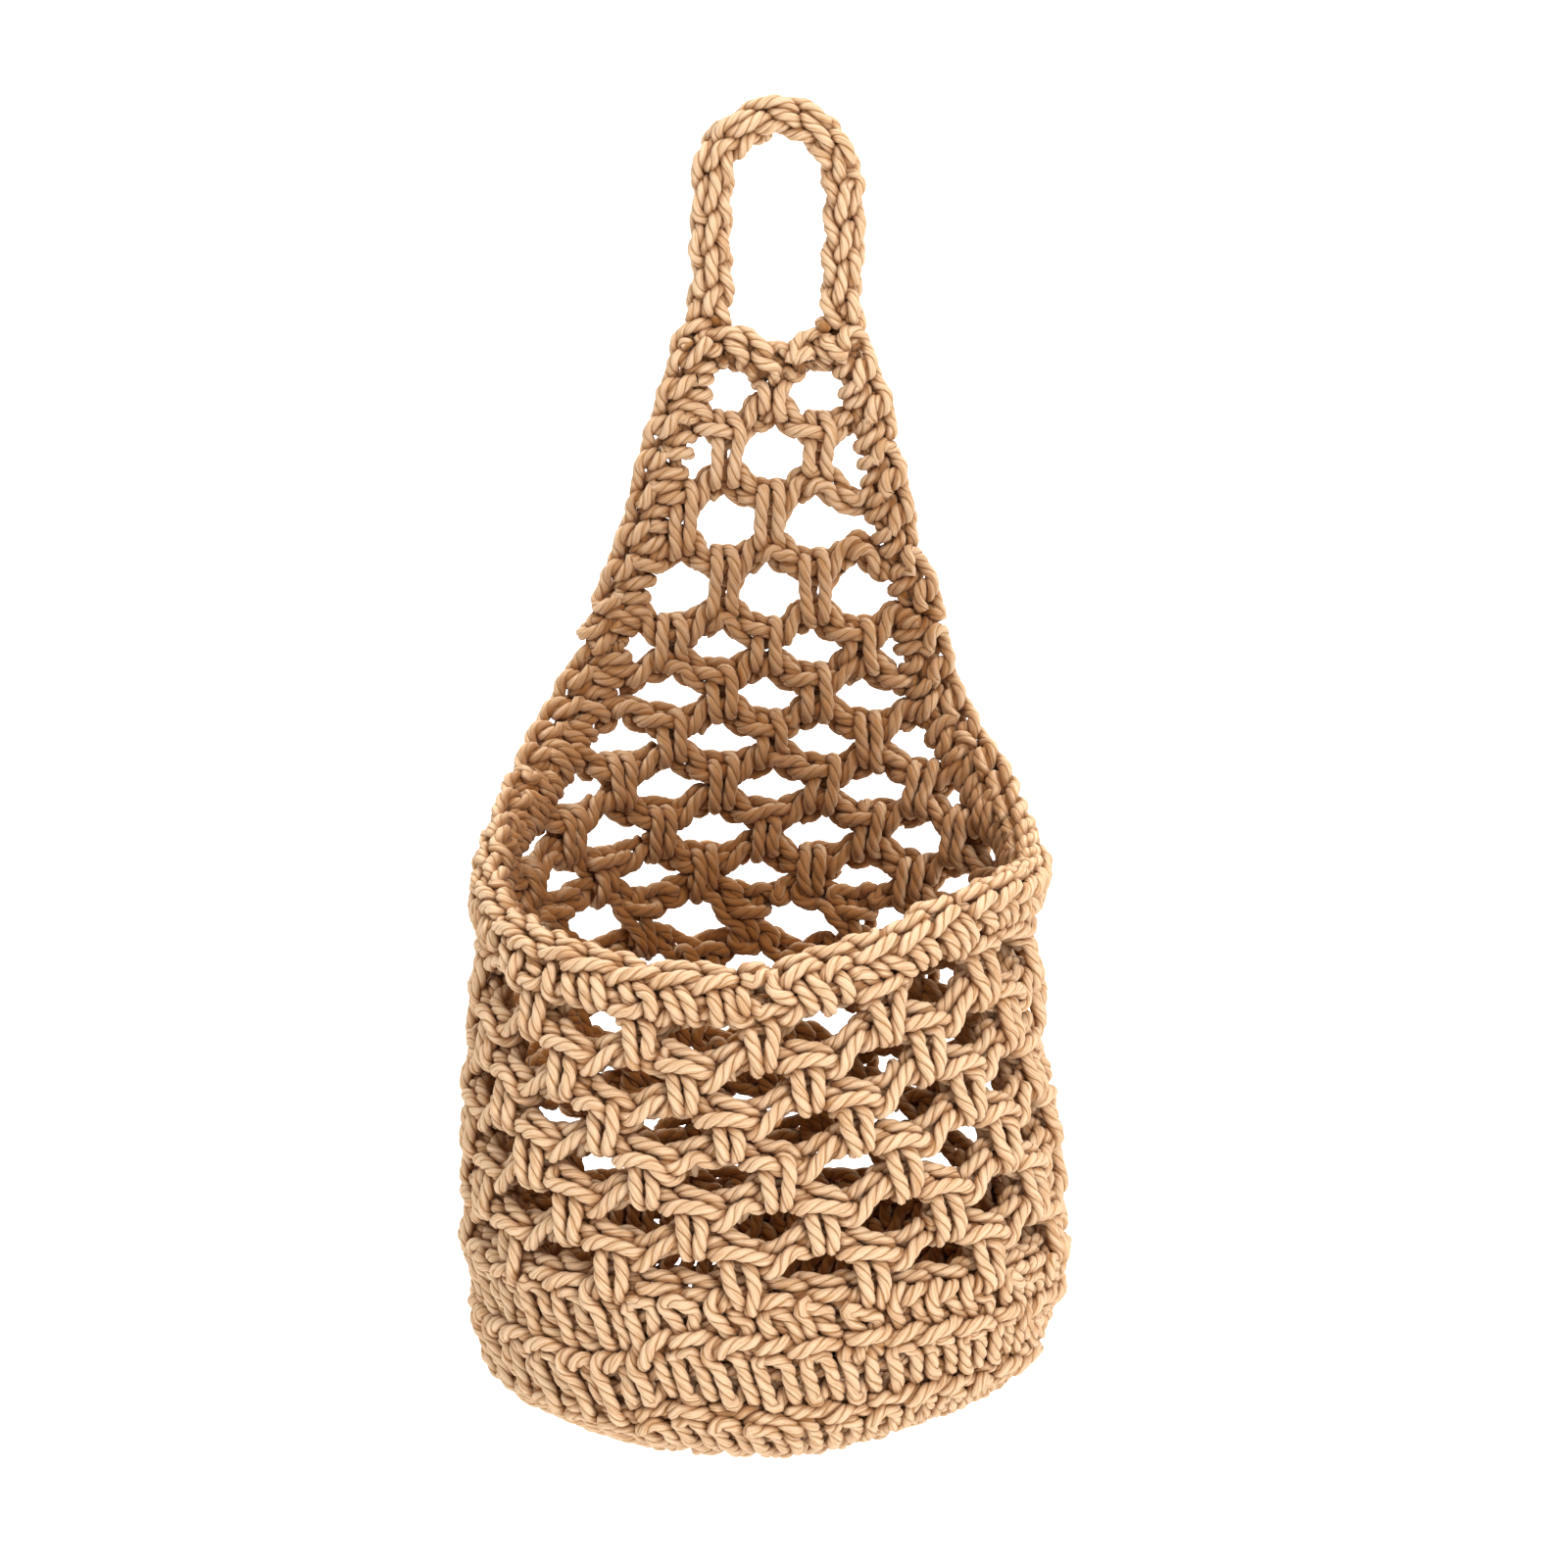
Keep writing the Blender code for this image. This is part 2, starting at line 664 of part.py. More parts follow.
def panel_side_strip(name, side, inner, outer):
    """A border strip from the fold up to the top border."""
    start = FOLD_CLIMB + FOLD_CLEARANCE
    slope = (TOP_INNER - FOLD_INNER) / (PANEL_END - FOLD_CLIMB)
    sections = []
    for k in range(PANEL_SIDE_STEPS + 1):
        climb = start + (PANEL_END - start) * k / PANEL_SIDE_STEPS
        hem = FOLD_INNER + slope * (climb - FOLD_CLIMB)
        places = ((side * (hem + inner), climb), (side * (hem + outer), climb))
        sections.append(section(*places, BORDER_HALF_THICKNESS))
    return strip(name, sections, CORD_LIGHT)


def top_braid():
    """The top border, which carries the loop's feet. It dips between them."""
    half_height = TOP_BRAID_RADIUS * HEXAGON_HEIGHT_SHARE
    dip_steps = TOP_BRAID_STEPS - 2
    inner = [TOP_DIP_HALF_WIDTH * (2.0 * k / dip_steps - 1.0) for k in range(dip_steps + 1)]
    sections = []
    for along in [-TOP_HALF_WIDTH, *inner, TOP_HALF_WIDTH]:
        middle = LOOP_HINGE_CLIMB - top_dip(along)
        low, high = (along, middle - half_height), (along, middle + half_height)
        sections.append(section(low, high, TOP_BRAID_RADIUS, HEXAGON_EDGE_SHARE))
    return strip("top_braid", sections, CORD_LIGHT)


def hanging_loop():
    """The crocheted loop: two nearly upright legs and a round top."""
    foot = LOOP_HINGE_CLIMB + TOP_BRAID_RADIUS + HINGE_GAP
    centre = LOOP_TOP_CLIMB - LOOP_HALF_WIDTH - LOOP_TOP_RADIUS
    outer_radius = LOOP_TOP_RADIUS + LOOP_HALF_WIDTH
    inner_radius = LOOP_TOP_RADIUS - LOOP_HALF_WIDTH
    foot_middle = LOOP_FOOT_SPACING / 2.0
    pairs = [((-foot_middle + LOOP_HALF_WIDTH, foot), (-foot_middle - LOOP_HALF_WIDTH, foot))]
    for k in range(LOOP_TOP_STEPS + 1):
        angle = math.pi * (1.0 - k / LOOP_TOP_STEPS)
        x, y = math.cos(angle), math.sin(angle)
        inner = (x * inner_radius, centre + y * inner_radius)
        pairs.append((inner, (x * outer_radius, centre + y * outer_radius)))
    pairs.append(((foot_middle - LOOP_HALF_WIDTH, foot), (foot_middle + LOOP_HALF_WIDTH, foot)))
    sections = [section(inner, outer, LOOP_HALF_THICKNESS) for inner, outer in pairs]
    return strip("hanging_loop", sections, CORD_LIGHT)


def build_base():
    base_disc("base_centre", BASE_CENTRE_SHARE)
    base_ring("base_ring_inner", BASE_CENTRE_SHARE, BASE_INNER_SHARE)
    base_ring("base_ring_outer", BASE_INNER_SHARE, 1.0)


def build_dense_wall():
    dense_round("turning_round", 0.0, TURN_ROUND_HEIGHT)
    dense_round("lower_wall_round", TURN_ROUND_HEIGHT + SEAT_GAP, RIDGE_CLIMB)
    dense_round("upper_wall_round", RIDGE_CLIMB + SEAT_GAP, UPPER_ROUND_CLIMB)
    ridge_braid()
    wall_top_braid()


def build_body_mesh():
    for row in range(1, MESH_ROUNDS + 1):
        mesh_row(f"mesh_round_{row}", row, CORD_LIGHT)
    for row in range(MESH_ROUNDS + 1, FOLD_ROW):
        mesh_row(f"back_row_{row - MESH_ROUNDS}", row, CORD_SHADE)
    mesh_row("fold_row", FOLD_ROW, CORD_SHADE)


def border_strips():
    """The strips that every border is made of: label, side's word, side, inner and outer edge."""
    braid_start = BORDER_ROW_WIDTH + BRAID_GAP
    for label, inner, outer in (("row", 0.0, BORDER_ROW_WIDTH), ("braid", braid_start, BORDER_WIDTH)):
        for word, side in (("left", -1), ("right", 1)):
            yield label, word, side, inner, outer


def build_body_borders():
    for label, word, side, inner, outer in border_strips():
        rim_strip(f"rim_{label}_{word}", side, inner, outer)
        side_strip(f"side_{label}_{word}", side, inner, outer)


def build_panel():
    """The pieces of the upper panel, which swing about the fold."""
    pieces = []
    for row in range(FOLD_ROW + 1, TOP_ROW + 1):
        pieces.append(mesh_row(f"panel_row_{row - FOLD_ROW}", row, CORD_SHADE))
    for label, word, side, inner, outer in border_strips():
        pieces.append(panel_side_strip(f"panel_side_{label}_{word}", side, inner, outer))
    pieces.append(top_braid())
    return pieces


def clear_scene():
    for leftover in list(bpy.data.objects):
        bpy.data.objects.remove(leftover, do_unlink=True)


def main():
    clear_scene()
    build_base()
    build_dense_wall()
    build_body_mesh()
    build_body_borders()
    loop_hinge = hinge_empty("loop_swing_axis", LOOP_HINGE_CLIMB, [hanging_loop()])
    hinge_empty("panel_fold_axis", FOLD_CLIMB, [*build_panel(), loop_hinge])


main()
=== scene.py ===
# %% [markdown]
# # A hanging basket crocheted from twisted cotton cord
# The basket is one long cord. Nothing on it is a surface: the wall, the open mesh, the borders and the
# loop are all stitches, and each stitch is the same cord bent round its neighbours. So this scene makes
# one tool, a cord swept along a path, and then works the basket stitch by stitch as a crocheter does.
# It starts from the fixed frame, whose solids say where each round and row lies.

# %% Load the frame
import math

import bpy
import numpy as np
from mathutils import Matrix, Vector


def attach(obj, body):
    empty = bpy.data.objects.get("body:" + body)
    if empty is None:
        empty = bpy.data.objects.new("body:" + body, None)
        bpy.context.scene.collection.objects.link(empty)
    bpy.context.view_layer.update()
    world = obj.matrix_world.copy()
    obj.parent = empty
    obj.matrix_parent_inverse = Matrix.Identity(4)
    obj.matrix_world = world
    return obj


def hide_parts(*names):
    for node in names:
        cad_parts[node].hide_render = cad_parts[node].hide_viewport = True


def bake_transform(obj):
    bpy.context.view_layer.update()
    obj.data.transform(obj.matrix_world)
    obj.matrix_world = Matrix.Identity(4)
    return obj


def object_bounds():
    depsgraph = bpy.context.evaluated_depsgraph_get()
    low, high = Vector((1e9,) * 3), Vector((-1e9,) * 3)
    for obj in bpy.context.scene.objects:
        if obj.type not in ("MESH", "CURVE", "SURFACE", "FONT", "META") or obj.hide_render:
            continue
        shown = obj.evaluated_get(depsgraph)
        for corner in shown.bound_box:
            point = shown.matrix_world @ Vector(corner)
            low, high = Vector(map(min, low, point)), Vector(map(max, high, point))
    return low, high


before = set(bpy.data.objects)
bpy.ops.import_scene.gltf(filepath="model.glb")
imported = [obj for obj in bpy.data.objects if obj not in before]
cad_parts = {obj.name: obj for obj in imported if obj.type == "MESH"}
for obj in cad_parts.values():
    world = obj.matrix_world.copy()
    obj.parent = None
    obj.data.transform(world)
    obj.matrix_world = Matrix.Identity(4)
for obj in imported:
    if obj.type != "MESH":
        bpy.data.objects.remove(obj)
cad_low, cad_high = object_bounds()
print("frame pieces:", len(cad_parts))

# %% [markdown]
# ## The wall as one surface
# The base, the round body and the flat back panel are one surface, and a place on it has two numbers:
# how far round it lies from the middle of the back, and how far up the wall it lies from the base's
# edge. The rounds could be modelled one by one in space, but then each stitch would need its own
# fitting. With one surface a stitch is drawn flat once and the surface bends it.

# %% Sizes of the wall, in metres
MM = 0.001
BODY_HALF_WIDTH, BODY_DEPTH_SHARE, OVAL_POWER = 0.0752, 0.885, 2.2
BELLY, RIM_TAPER, TURN_RADIUS, BASE_MIDDLE = 0.0045, 0.003, 0.020, 0.003
BASE_EDGE = BODY_HALF_WIDTH - TURN_RADIUS
TURN_CLIMB = TURN_RADIUS * math.pi / 2.0
RIDGE_CLIMB, RIDGE_RISE, MESH_START = 0.0385, 0.010, 0.0557
CELLS_AROUND, MESH_ROUNDS, FOLD_ROW, TOP_ROW = 14, 6, 12, 16
BODY_ROW_HEIGHT, BACK_ROW_HEIGHT, PANEL_ROW_HEIGHT = 0.0139, 0.0131, 0.0193
RIM_CLIMB = MESH_START + MESH_ROUNDS * BODY_ROW_HEIGHT
FOLD_CLIMB = RIM_CLIMB + (FOLD_ROW - MESH_ROUNDS) * BACK_ROW_HEIGHT
TOP_CLIMB = FOLD_CLIMB + (TOP_ROW - FOLD_ROW) * PANEL_ROW_HEIGHT
PANEL_CELL = 0.026
LAST_ROUND_SHARE, LEAN_SHARE = -0.07, 0.35
FRONT_SAG, FRONT_SAG_POWER = 0.014, 3
SIDE_LIFT, SIDE_LIFT_PLACE, SIDE_LIFT_REACH = 0.012, 0.155, 0.045
FLAT_START, FLATTEN_REACH = FOLD_CLIMB - 0.060, 0.050
RAIL_SEAT = 0.0057
LEFT_CORNER, RIGHT_CORNER = 0.080, 0.056
LEFT_CORNER_POWER, RIGHT_CORNER_POWER = 1.8, 2.3
FOLD_INNER, TOP_INNER, BORDER_WIDTH = 0.040, 0.018, 0.011
PANEL_END = TOP_CLIMB + 0.0036
LOOP_HINGE_CLIMB = 0.30192
LOOP_TOP_CLIMB = LOOP_HINGE_CLIMB + 0.0625
TOP_DIP, TOP_DIP_HALF_WIDTH = 0.006, 0.0125
LOOP_BAND, LOOP_ARC_RADIUS, LOOP_LEG_PLACE = 0.010, 0.018, 0.0183


# %% Places on the wall
def smooth(share):
    share = np.clip(share, 0.0, 1.0)
    return share * share * (3.0 - 2.0 * share)


def signed_power(value, power):
    return np.sign(value) * np.abs(value) ** power


def run_along(points):
    """The distance along a path at each of its points."""
    return np.concatenate([[0.0], np.cumsum(np.linalg.norm(np.diff(points, axis=0), axis=1))])


def left_of(forward):
    """Unit directions to the left of a line's forward directions."""
    forward = forward / np.linalg.norm(forward, axis=1, keepdims=True)
    return np.stack([-forward[:, 1], forward[:, 0]], axis=-1)


OVAL_ANGLES = np.linspace(0.0, math.tau, 721)
OVAL_X = signed_power(np.sin(OVAL_ANGLES), 2.0 / OVAL_POWER)
OVAL_Y = BODY_DEPTH_SHARE * signed_power(np.cos(OVAL_ANGLES), 2.0 / OVAL_POWER)
OVAL_LENGTHS = np.concatenate([[0.0], np.cumsum(np.hypot(np.diff(OVAL_X), np.diff(OVAL_Y)))])


def half_width_at(climb):
    """The wall's half width. A climb below 0 lies on the base, as far in from its edge."""
    turned = TURN_RADIUS * np.sin(np.clip(climb, 0.0, TURN_CLIMB) / TURN_RADIUS)
    share = np.clip((climb - TURN_CLIMB) / (RIM_CLIMB - TURN_CLIMB), 0.0, 1.0)
    bulge = BELLY * np.sin(np.pi * share) - RIM_TAPER * share * share
    return BASE_EDGE + np.minimum(climb, 0.0) + turned + bulge


def height_of(climb):
    turned = 1.0 - np.cos(np.clip(climb, 0.0, TURN_CLIMB) / TURN_RADIUS)
    return BASE_MIDDLE + TURN_RADIUS * turned + np.maximum(climb - TURN_CLIMB, 0.0)


RIM_HALF_WIDTH = float(half_width_at(RIM_CLIMB))
RIM_PERIMETER = RIM_HALF_WIDTH * OVAL_LENGTHS[-1]
BACK_PLANE = RIM_HALF_WIDTH * BODY_DEPTH_SHARE
BODY_CELL = RIM_PERIMETER / CELLS_AROUND
ORIGIN = np.array([0.0, BACK_PLANE, float(height_of(LOOP_TOP_CLIMB - LOOP_BAND))])


def flatness(climb):
    return smooth((climb - FLAT_START) / FLATTEN_REACH)


def middle_points(along, climb):
    length = (along / RIM_PERIMETER) % 1.0 * OVAL_LENGTHS[-1]
    width = half_width_at(climb)
    x = np.interp(length, OVAL_LENGTHS, OVAL_X) * width
    y = np.interp(length, OVAL_LENGTHS, OVAL_Y) * width
    flat = flatness(climb)
    return np.stack([x + (along - x) * flat, y + (BACK_PLANE - y) * flat, height_of(climb)], axis=-1)


# How far the soft wall's two sides hang to the right of the even frame, in mm, at heights in metres: at
# the base, the ridge, the slack mesh, under the rim, the back's two corners, the panel's waist and top
HUNG_HEIGHTS = (-0.345, -0.300, -0.243, -0.212, -0.176, -0.153, -0.115, -0.060)
HUNG_LEFT = (3.0, 3.0, 2.0, -2.0, -1.0, -4.0, 3.0, -0.5)
HUNG_RIGHT = (0.0, 1.5, -5.0, -2.5, 5.0, 3.0, -4.0, 1.5)
LEFT_CORNER_LIFT, RIGHT_CORNER_LIFT = 4.0 * MM, 9.0 * MM
CORNER_PLACE_SHARE, LIFT_START, LIFT_REACH = 0.95, -0.285, 0.05


def hung(places):
    """The wall as it hangs: it leans a little, and the base's corners are pulled up."""
    x, z = places[..., 0], places[..., 2]
    right = 0.5 + 0.5 * np.clip(x / BODY_HALF_WIDTH, -1.0, 1.0)
    aside = np.interp(z, HUNG_HEIGHTS, HUNG_LEFT) * (1.0 - right)
    aside += np.interp(z, HUNG_HEIGHTS, HUNG_RIGHT) * right
    corner = np.where(x > 0.0, RIGHT_CORNER_LIFT, LEFT_CORNER_LIFT)
    corner *= smooth(np.abs(x) / (CORNER_PLACE_SHARE * BODY_HALF_WIDTH))
    lift = corner * smooth((LIFT_START - z) / LIFT_REACH)
    return places + np.stack([aside * MM, np.zeros_like(x), lift], axis=-1)


def wall_points(along, climb, out):
    """Places at a distance out from the middle of the wall's thickness."""
    step = 1.0 * MM
    upward = middle_points(along, climb + step) - middle_points(along, climb - step)
    sideways = middle_points(along + step, climb) - middle_points(along - step, climb)
    normal = np.cross(upward, sideways)
    normal /= np.linalg.norm(normal, axis=-1, keepdims=True)
    return hung(middle_points(along, climb) + normal * out[..., None] - ORIGIN)


print("rim perimeter in mm:", round(RIM_PERIMETER / MM, 1))


# %% [markdown]
# ## Where the rows lie
# The front hangs slack and the right side is pulled up, so the rows aren't level. Each mesh row is a
# zigzag: its own clusters pull it down and the clusters of the row above pull it up. The rows' climbs
# follow the same rules as the frame's solids, so the stitches lie on them to within the hang.

# %% Rows of the mesh
def slack(along, climb, level):
    """How far the front hangs down and the right side is pulled up, at a row's share of it."""
    turns = along / RIM_PERIMETER
    front = (1.0 - np.cos(math.tau * turns)) / 2.0
    beside = (turns - SIDE_LIFT_PLACE / RIM_PERIMETER + 0.5) % 1.0 - 0.5
    lift = SIDE_LIFT * np.exp(-((beside * RIM_PERIMETER / SIDE_LIFT_REACH) ** 2))
    return level * (lift - FRONT_SAG * front ** FRONT_SAG_POWER) * (1.0 - flatness(climb))


def row_level_climb(row):
    body = min(row, MESH_ROUNDS)
    back = min(max(row - MESH_ROUNDS, 0), FOLD_ROW - MESH_ROUNDS)
    panel = max(row - FOLD_ROW, 0)
    return MESH_START + body * BODY_ROW_HEIGHT + back * BACK_ROW_HEIGHT + panel * PANEL_ROW_HEIGHT


def top_dip(along):
    return TOP_DIP * (1.0 - smooth(np.abs(along) / TOP_DIP_HALF_WIDTH))


def row_climb(row, along):
    level_climb = row_level_climb(row)
    climb = level_climb + slack(along, level_climb, min(1.0, row / MESH_ROUNDS))
    return climb - top_dip(along) if row == TOP_ROW else climb


def row_offset(row):
    if row > MESH_ROUNDS:
        return (row % 2) / 2.0
    return (LAST_ROUND_SHARE - LEAN_SHARE * (MESH_ROUNDS - row)) % 1.0


def cell_length(row):
    share = float(smooth((row_level_climb(row) - RIM_CLIMB) / (FOLD_CLIMB - RIM_CLIMB)))
    return BODY_CELL + (PANEL_CELL - BODY_CELL) * share


# How far a row's chain is pulled up or down, in mm, through one cell from its own cluster
BODY_ZIGZAG = ((0.0, 0.20, 0.36, 0.47, 0.78, 1.0), (-1.0, 1.4, 3.2, 2.8, -3.0, -1.0))
RIM_ZIGZAG = ((0.0, 0.20, 0.40, 0.60, 0.80, 1.0), (-0.8, 2.4, 4.0, 4.0, 1.5, -0.8))
BACK_ZIGZAG = ((0.0, 0.16, 0.50, 0.84, 1.0), (-3.1, -2.0, 4.4, -2.0, -3.1))
TOP_ROW_RISE = 2.0 * MM
PANEL_ZIGZAG = ((0.0, 0.15, 0.50, 0.85, 1.0), (-3.6, -2.4, 5.0, -2.4, -3.6))


def zigzag(row, along):
    """The chain's lift over the row's own climb, in metres."""
    if row in (0, TOP_ROW):
        return np.full_like(along, TOP_ROW_RISE if row else 0.0)
    phase = (along / cell_length(row) - row_offset(row)) % 1.0
    above = BACK_ZIGZAG if row < FOLD_ROW else PANEL_ZIGZAG
    table = BODY_ZIGZAG if row < MESH_ROUNDS else RIM_ZIGZAG if row == MESH_ROUNDS else above
    return np.interp(phase, *table) * MM


def dense_climb(along, climb):
    if climb < RIDGE_CLIMB:
        share = max(0.0, climb / RIDGE_CLIMB)
    else:
        share = (MESH_START - climb) / (MESH_START - RIDGE_CLIMB)
    return climb + RIDGE_RISE * share * along / RIM_PERIMETER


print("cells in mm, body and panel:", round(BODY_CELL / MM, 1), round(PANEL_CELL / MM, 1))


# %% [markdown]
# ## A line to work along
# A crocheter always works along something: the last round, a row of arches, or the open edge. This
# class holds such a line on the wall, the direction in which stitches stand on it, and which side shows
# the neat face. It turns a stitch's own flat measures (along, up, out) into places in space.

# %% The line class
class Line:
    def __init__(self, along, climb, stand=None, face=1.0):
        self.along, self.climb, self.face = np.asarray(along), np.asarray(climb), face
        middles = middle_points(self.along, self.climb)
        self.run = run_along(middles)
        self.stand = np.tile([0.0, 1.0], (len(middles), 1)) if stand is None else np.asarray(stand)

    def place(self, points):
        """points are rows of run, rise and out in metres."""
        run, rise, out = np.asarray(points, float).T
        along = np.interp(run, self.run, self.along) + rise * np.interp(run, self.run, self.stand[:, 0])
        climb = np.interp(run, self.run, self.climb) + rise * np.interp(run, self.run, self.stand[:, 1])
        return wall_points(along, climb, out * self.face)


# %% [markdown]
# ## The cord
# The cord is three plies twisted to the left, about 4 mm thick. Three separate tubes per cord would
# triple the mesh, so the cord is one tube whose section has three lobes, and the section turns as it
# goes. The path through a stitch's few points is a smooth curve, and the section is carried along it
# without adding turns of its own. Round and along are kept as UVs, for the fibres of the cotton.

# %% Cord sweep
CORD_RADIUS = 2.0 * MM
TWIST_PITCH = 11.8 * MM
CORD_STEP = 1.1 * MM
SETTLE_STEP = 1.9 * MM
SHORTEST_GAP = 0.2 * MM
LOBE_TURNS = np.array([-60.0, -36.0, 0.0, 36.0])
LOBE_SHARES = np.array([0.70, 0.92, 1.0, 0.92])
SECTION_ANGLES = np.radians(np.concatenate([LOBE_TURNS + 120.0 * lobe for lobe in range(3)]))
SECTION_RADII = np.tile(LOBE_SHARES, 3) * CORD_RADIUS
SIDES = len(SECTION_ANGLES)
FIRST_SIDE_HINT = (0.31, 0.52, 0.79)


def smooth_path(controls, step):
    """Even points on a smooth curve through the control points."""
    gaps = np.linalg.norm(np.diff(controls, axis=0), axis=1)
    controls = controls[np.concatenate([[True], gaps > SHORTEST_GAP])]
    gaps = np.linalg.norm(np.diff(controls, axis=0), axis=1)
    knots = run_along(controls)
    slopes = np.diff(controls, axis=0) / gaps[:, None]
    tangents = np.empty_like(controls)
    weight = (gaps[1:] / (gaps[1:] + gaps[:-1]))[:, None]
    tangents[1:-1] = slopes[:-1] * weight + slopes[1:] * (1.0 - weight)
    tangents[0], tangents[-1] = slopes[0], slopes[-1]
    at = np.linspace(0.0, knots[-1], max(2, int(knots[-1] / step)) + 1)
    k = np.clip(np.searchsorted(knots, at, side="right") - 1, 0, len(gaps) - 1)
    u, gap = ((at - knots[k]) / gaps[k])[:, None], gaps[k][:, None]
    return (
        (2 * u**3 - 3 * u**2 + 1) * controls[k] + (u**3 - 2 * u**2 + u) * gap * tangents[k]
        + (3 * u**2 - 2 * u**3) * controls[k + 1] + (u**3 - u**2) * gap * tangents[k + 1]
    )


def carried_frames(path):
    """A side direction at each point, carried along the path without turning round it."""
    tangents = np.gradient(path, axis=0)
    tangents /= np.linalg.norm(tangents, axis=1, keepdims=True)
    side = np.cross(tangents[0], FIRST_SIDE_HINT)
    side /= np.linalg.norm(side)
    sides = np.empty_like(path)
    for k, tangent in enumerate(tangents):
        side = side - tangent * side.dot(tangent)
        side /= math.sqrt(side.dot(side))
        sides[k] = side
    return sides, np.cross(tangents, sides)


def sweep(path):
    """Rings of places on the skin of a twisted cord along a path of even points, and its run."""
    sides, ups = carried_frames(path)
    run = run_along(path)
    angles = SECTION_ANGLES[None, :] - (math.tau / TWIST_PITCH) * run[:, None]
    across = np.cos(angles)[..., None] * sides[:, None] + np.sin(angles)[..., None] * ups[:, None]
    return path[:, None] + across * SECTION_RADII[None, :, None], run


def cord_faces(count, offset, run):
    """The faces of one swept cord and their UVs, u round the cord and v in turns of its twist."""
    index = offset + np.arange(count * SIDES).reshape(count, SIDES)
    after = np.roll(index, -1, axis=1)
    quads = np.stack([index[:-1], after[:-1], after[1:], index[1:]], axis=-1).reshape(-1, 4)
    low = np.broadcast_to(np.arange(SIDES) / SIDES, (count - 1, SIDES))
    high = low + 1.0 / SIDES
    start = np.broadcast_to(run[:-1, None] / TWIST_PITCH, low.shape)
    end = np.broadcast_to(run[1:, None] / TWIST_PITCH, low.shape)
    uvs = np.stack([low, start, high, start, high, end, low, end], axis=-1).reshape(-1, 4, 2)
    return quads, uvs, [index[0][::-1], index[-1]]


def cord_piece(name, sweeps, creases):
    """One object made of swept cords, closed at both ends. The last argument gives each skin place's
    painted shade.
    """
    quads, uvs, caps, offset = [], [], [], 0
    for rings, run in sweeps:
        more_quads, more_uvs, more_caps = cord_faces(len(rings), offset, run)
        quads.append(more_quads)
        uvs.append(more_uvs)
        caps += more_caps
        offset += len(rings) * SIDES
    places = np.concatenate([rings for rings, _ in sweeps])
    quads, uvs = np.concatenate(quads), np.concatenate(uvs)
    loops = np.concatenate([quads.reshape(-1)] + caps)
    sizes = np.concatenate([np.full(len(quads), 4), np.full(len(caps), SIDES)])
    mesh = bpy.data.meshes.new(name)
    mesh.vertices.add(offset)
    mesh.vertices.foreach_set("co", places.astype(np.float32).reshape(-1))
    mesh.loops.add(len(loops))
    mesh.loops.foreach_set("vertex_index", loops.astype(np.int32))
    mesh.polygons.add(len(sizes))
    starts = np.concatenate([[0], np.cumsum(sizes)[:-1]])
    mesh.polygons.foreach_set("loop_start", starts.astype(np.int32))
    mesh.update(calc_edges=True)
    flat = np.zeros((len(loops), 2), np.float32)
    flat[: len(quads) * 4] = uvs.reshape(-1, 2)
    mesh.uv_layers.new(name="cord").data.foreach_set("uv", flat.reshape(-1))
    painted_crease_shade = mesh.attributes.new("painted_crease_shade", "FLOAT", "POINT")
    painted_crease_shade.data.foreach_set("value", creases.astype(np.float32).reshape(-1))
    mesh.validate()
    mesh.shade_smooth()
    piece = bpy.data.objects.new(name, mesh)
    bpy.context.scene.collection.objects.link(piece)
    return piece


plan = []


def work(name, paths, body, nodes):
    """Writes a piece down in the plan. Its cords are made once all of them have settled."""
    plan.append((name, [smooth_path(path, SETTLE_STEP) for path in paths], body, nodes))


def planned_metres():
    return round(float(sum(run_along(path)[-1] for _, paths, _, _ in plan for path in paths)), 1)


# %% [markdown]
# ## Undyed cotton
# Cotton cord is matte. Its plies are bundles of fine yarns that lie nearly in line with the cord, and the
# tan varies a little from place to place. The grooves between the plies lie in shade, and that shade is
# painted into the colour as darker brown lines. A picture of cord could give this, but it would stretch at
# each bend. Fibres drawn in the cord's own UVs bend too.

# %% Cotton node group and material
# How much each thing turns the cotton from its light to its darker colour: the fibres and the patches give
# the cotton's own darker tone, the grooves and the creases give painted shade
GROOVE_PAINTED_SHADE, FIBRE_SHADE, PATCH_SHADE, CREASE_PAINTED_SHADE = 0.85, 3.6, 0.5, 0.34
# Where the grooves start across a ply, how far the grooves sink in the bump, and how sharply the painted
# shade turns to its darkest colour
GROOVE_START, GROOVE_HEIGHT, PAINTED_DEEP_SHADE_POWER = 0.33, 0.8, 1.35
# Fibres round the cord, how they lean across the plies, and how often they change along one turn
FIBRES_ROUND, FIBRE_LEAN, FIBRES_ALONG = 19.0, -0.3, 1.5
PATCH_SCALE = 55.0
COTTON_SURFACE = {"Roughness": 0.88, "Specular IOR Level": 0.2, "Sheen Weight": 0.12,
                  "Sheen Roughness": 0.5, "Sheen Tint": (1.0, 0.86, 0.70, 1.0)}


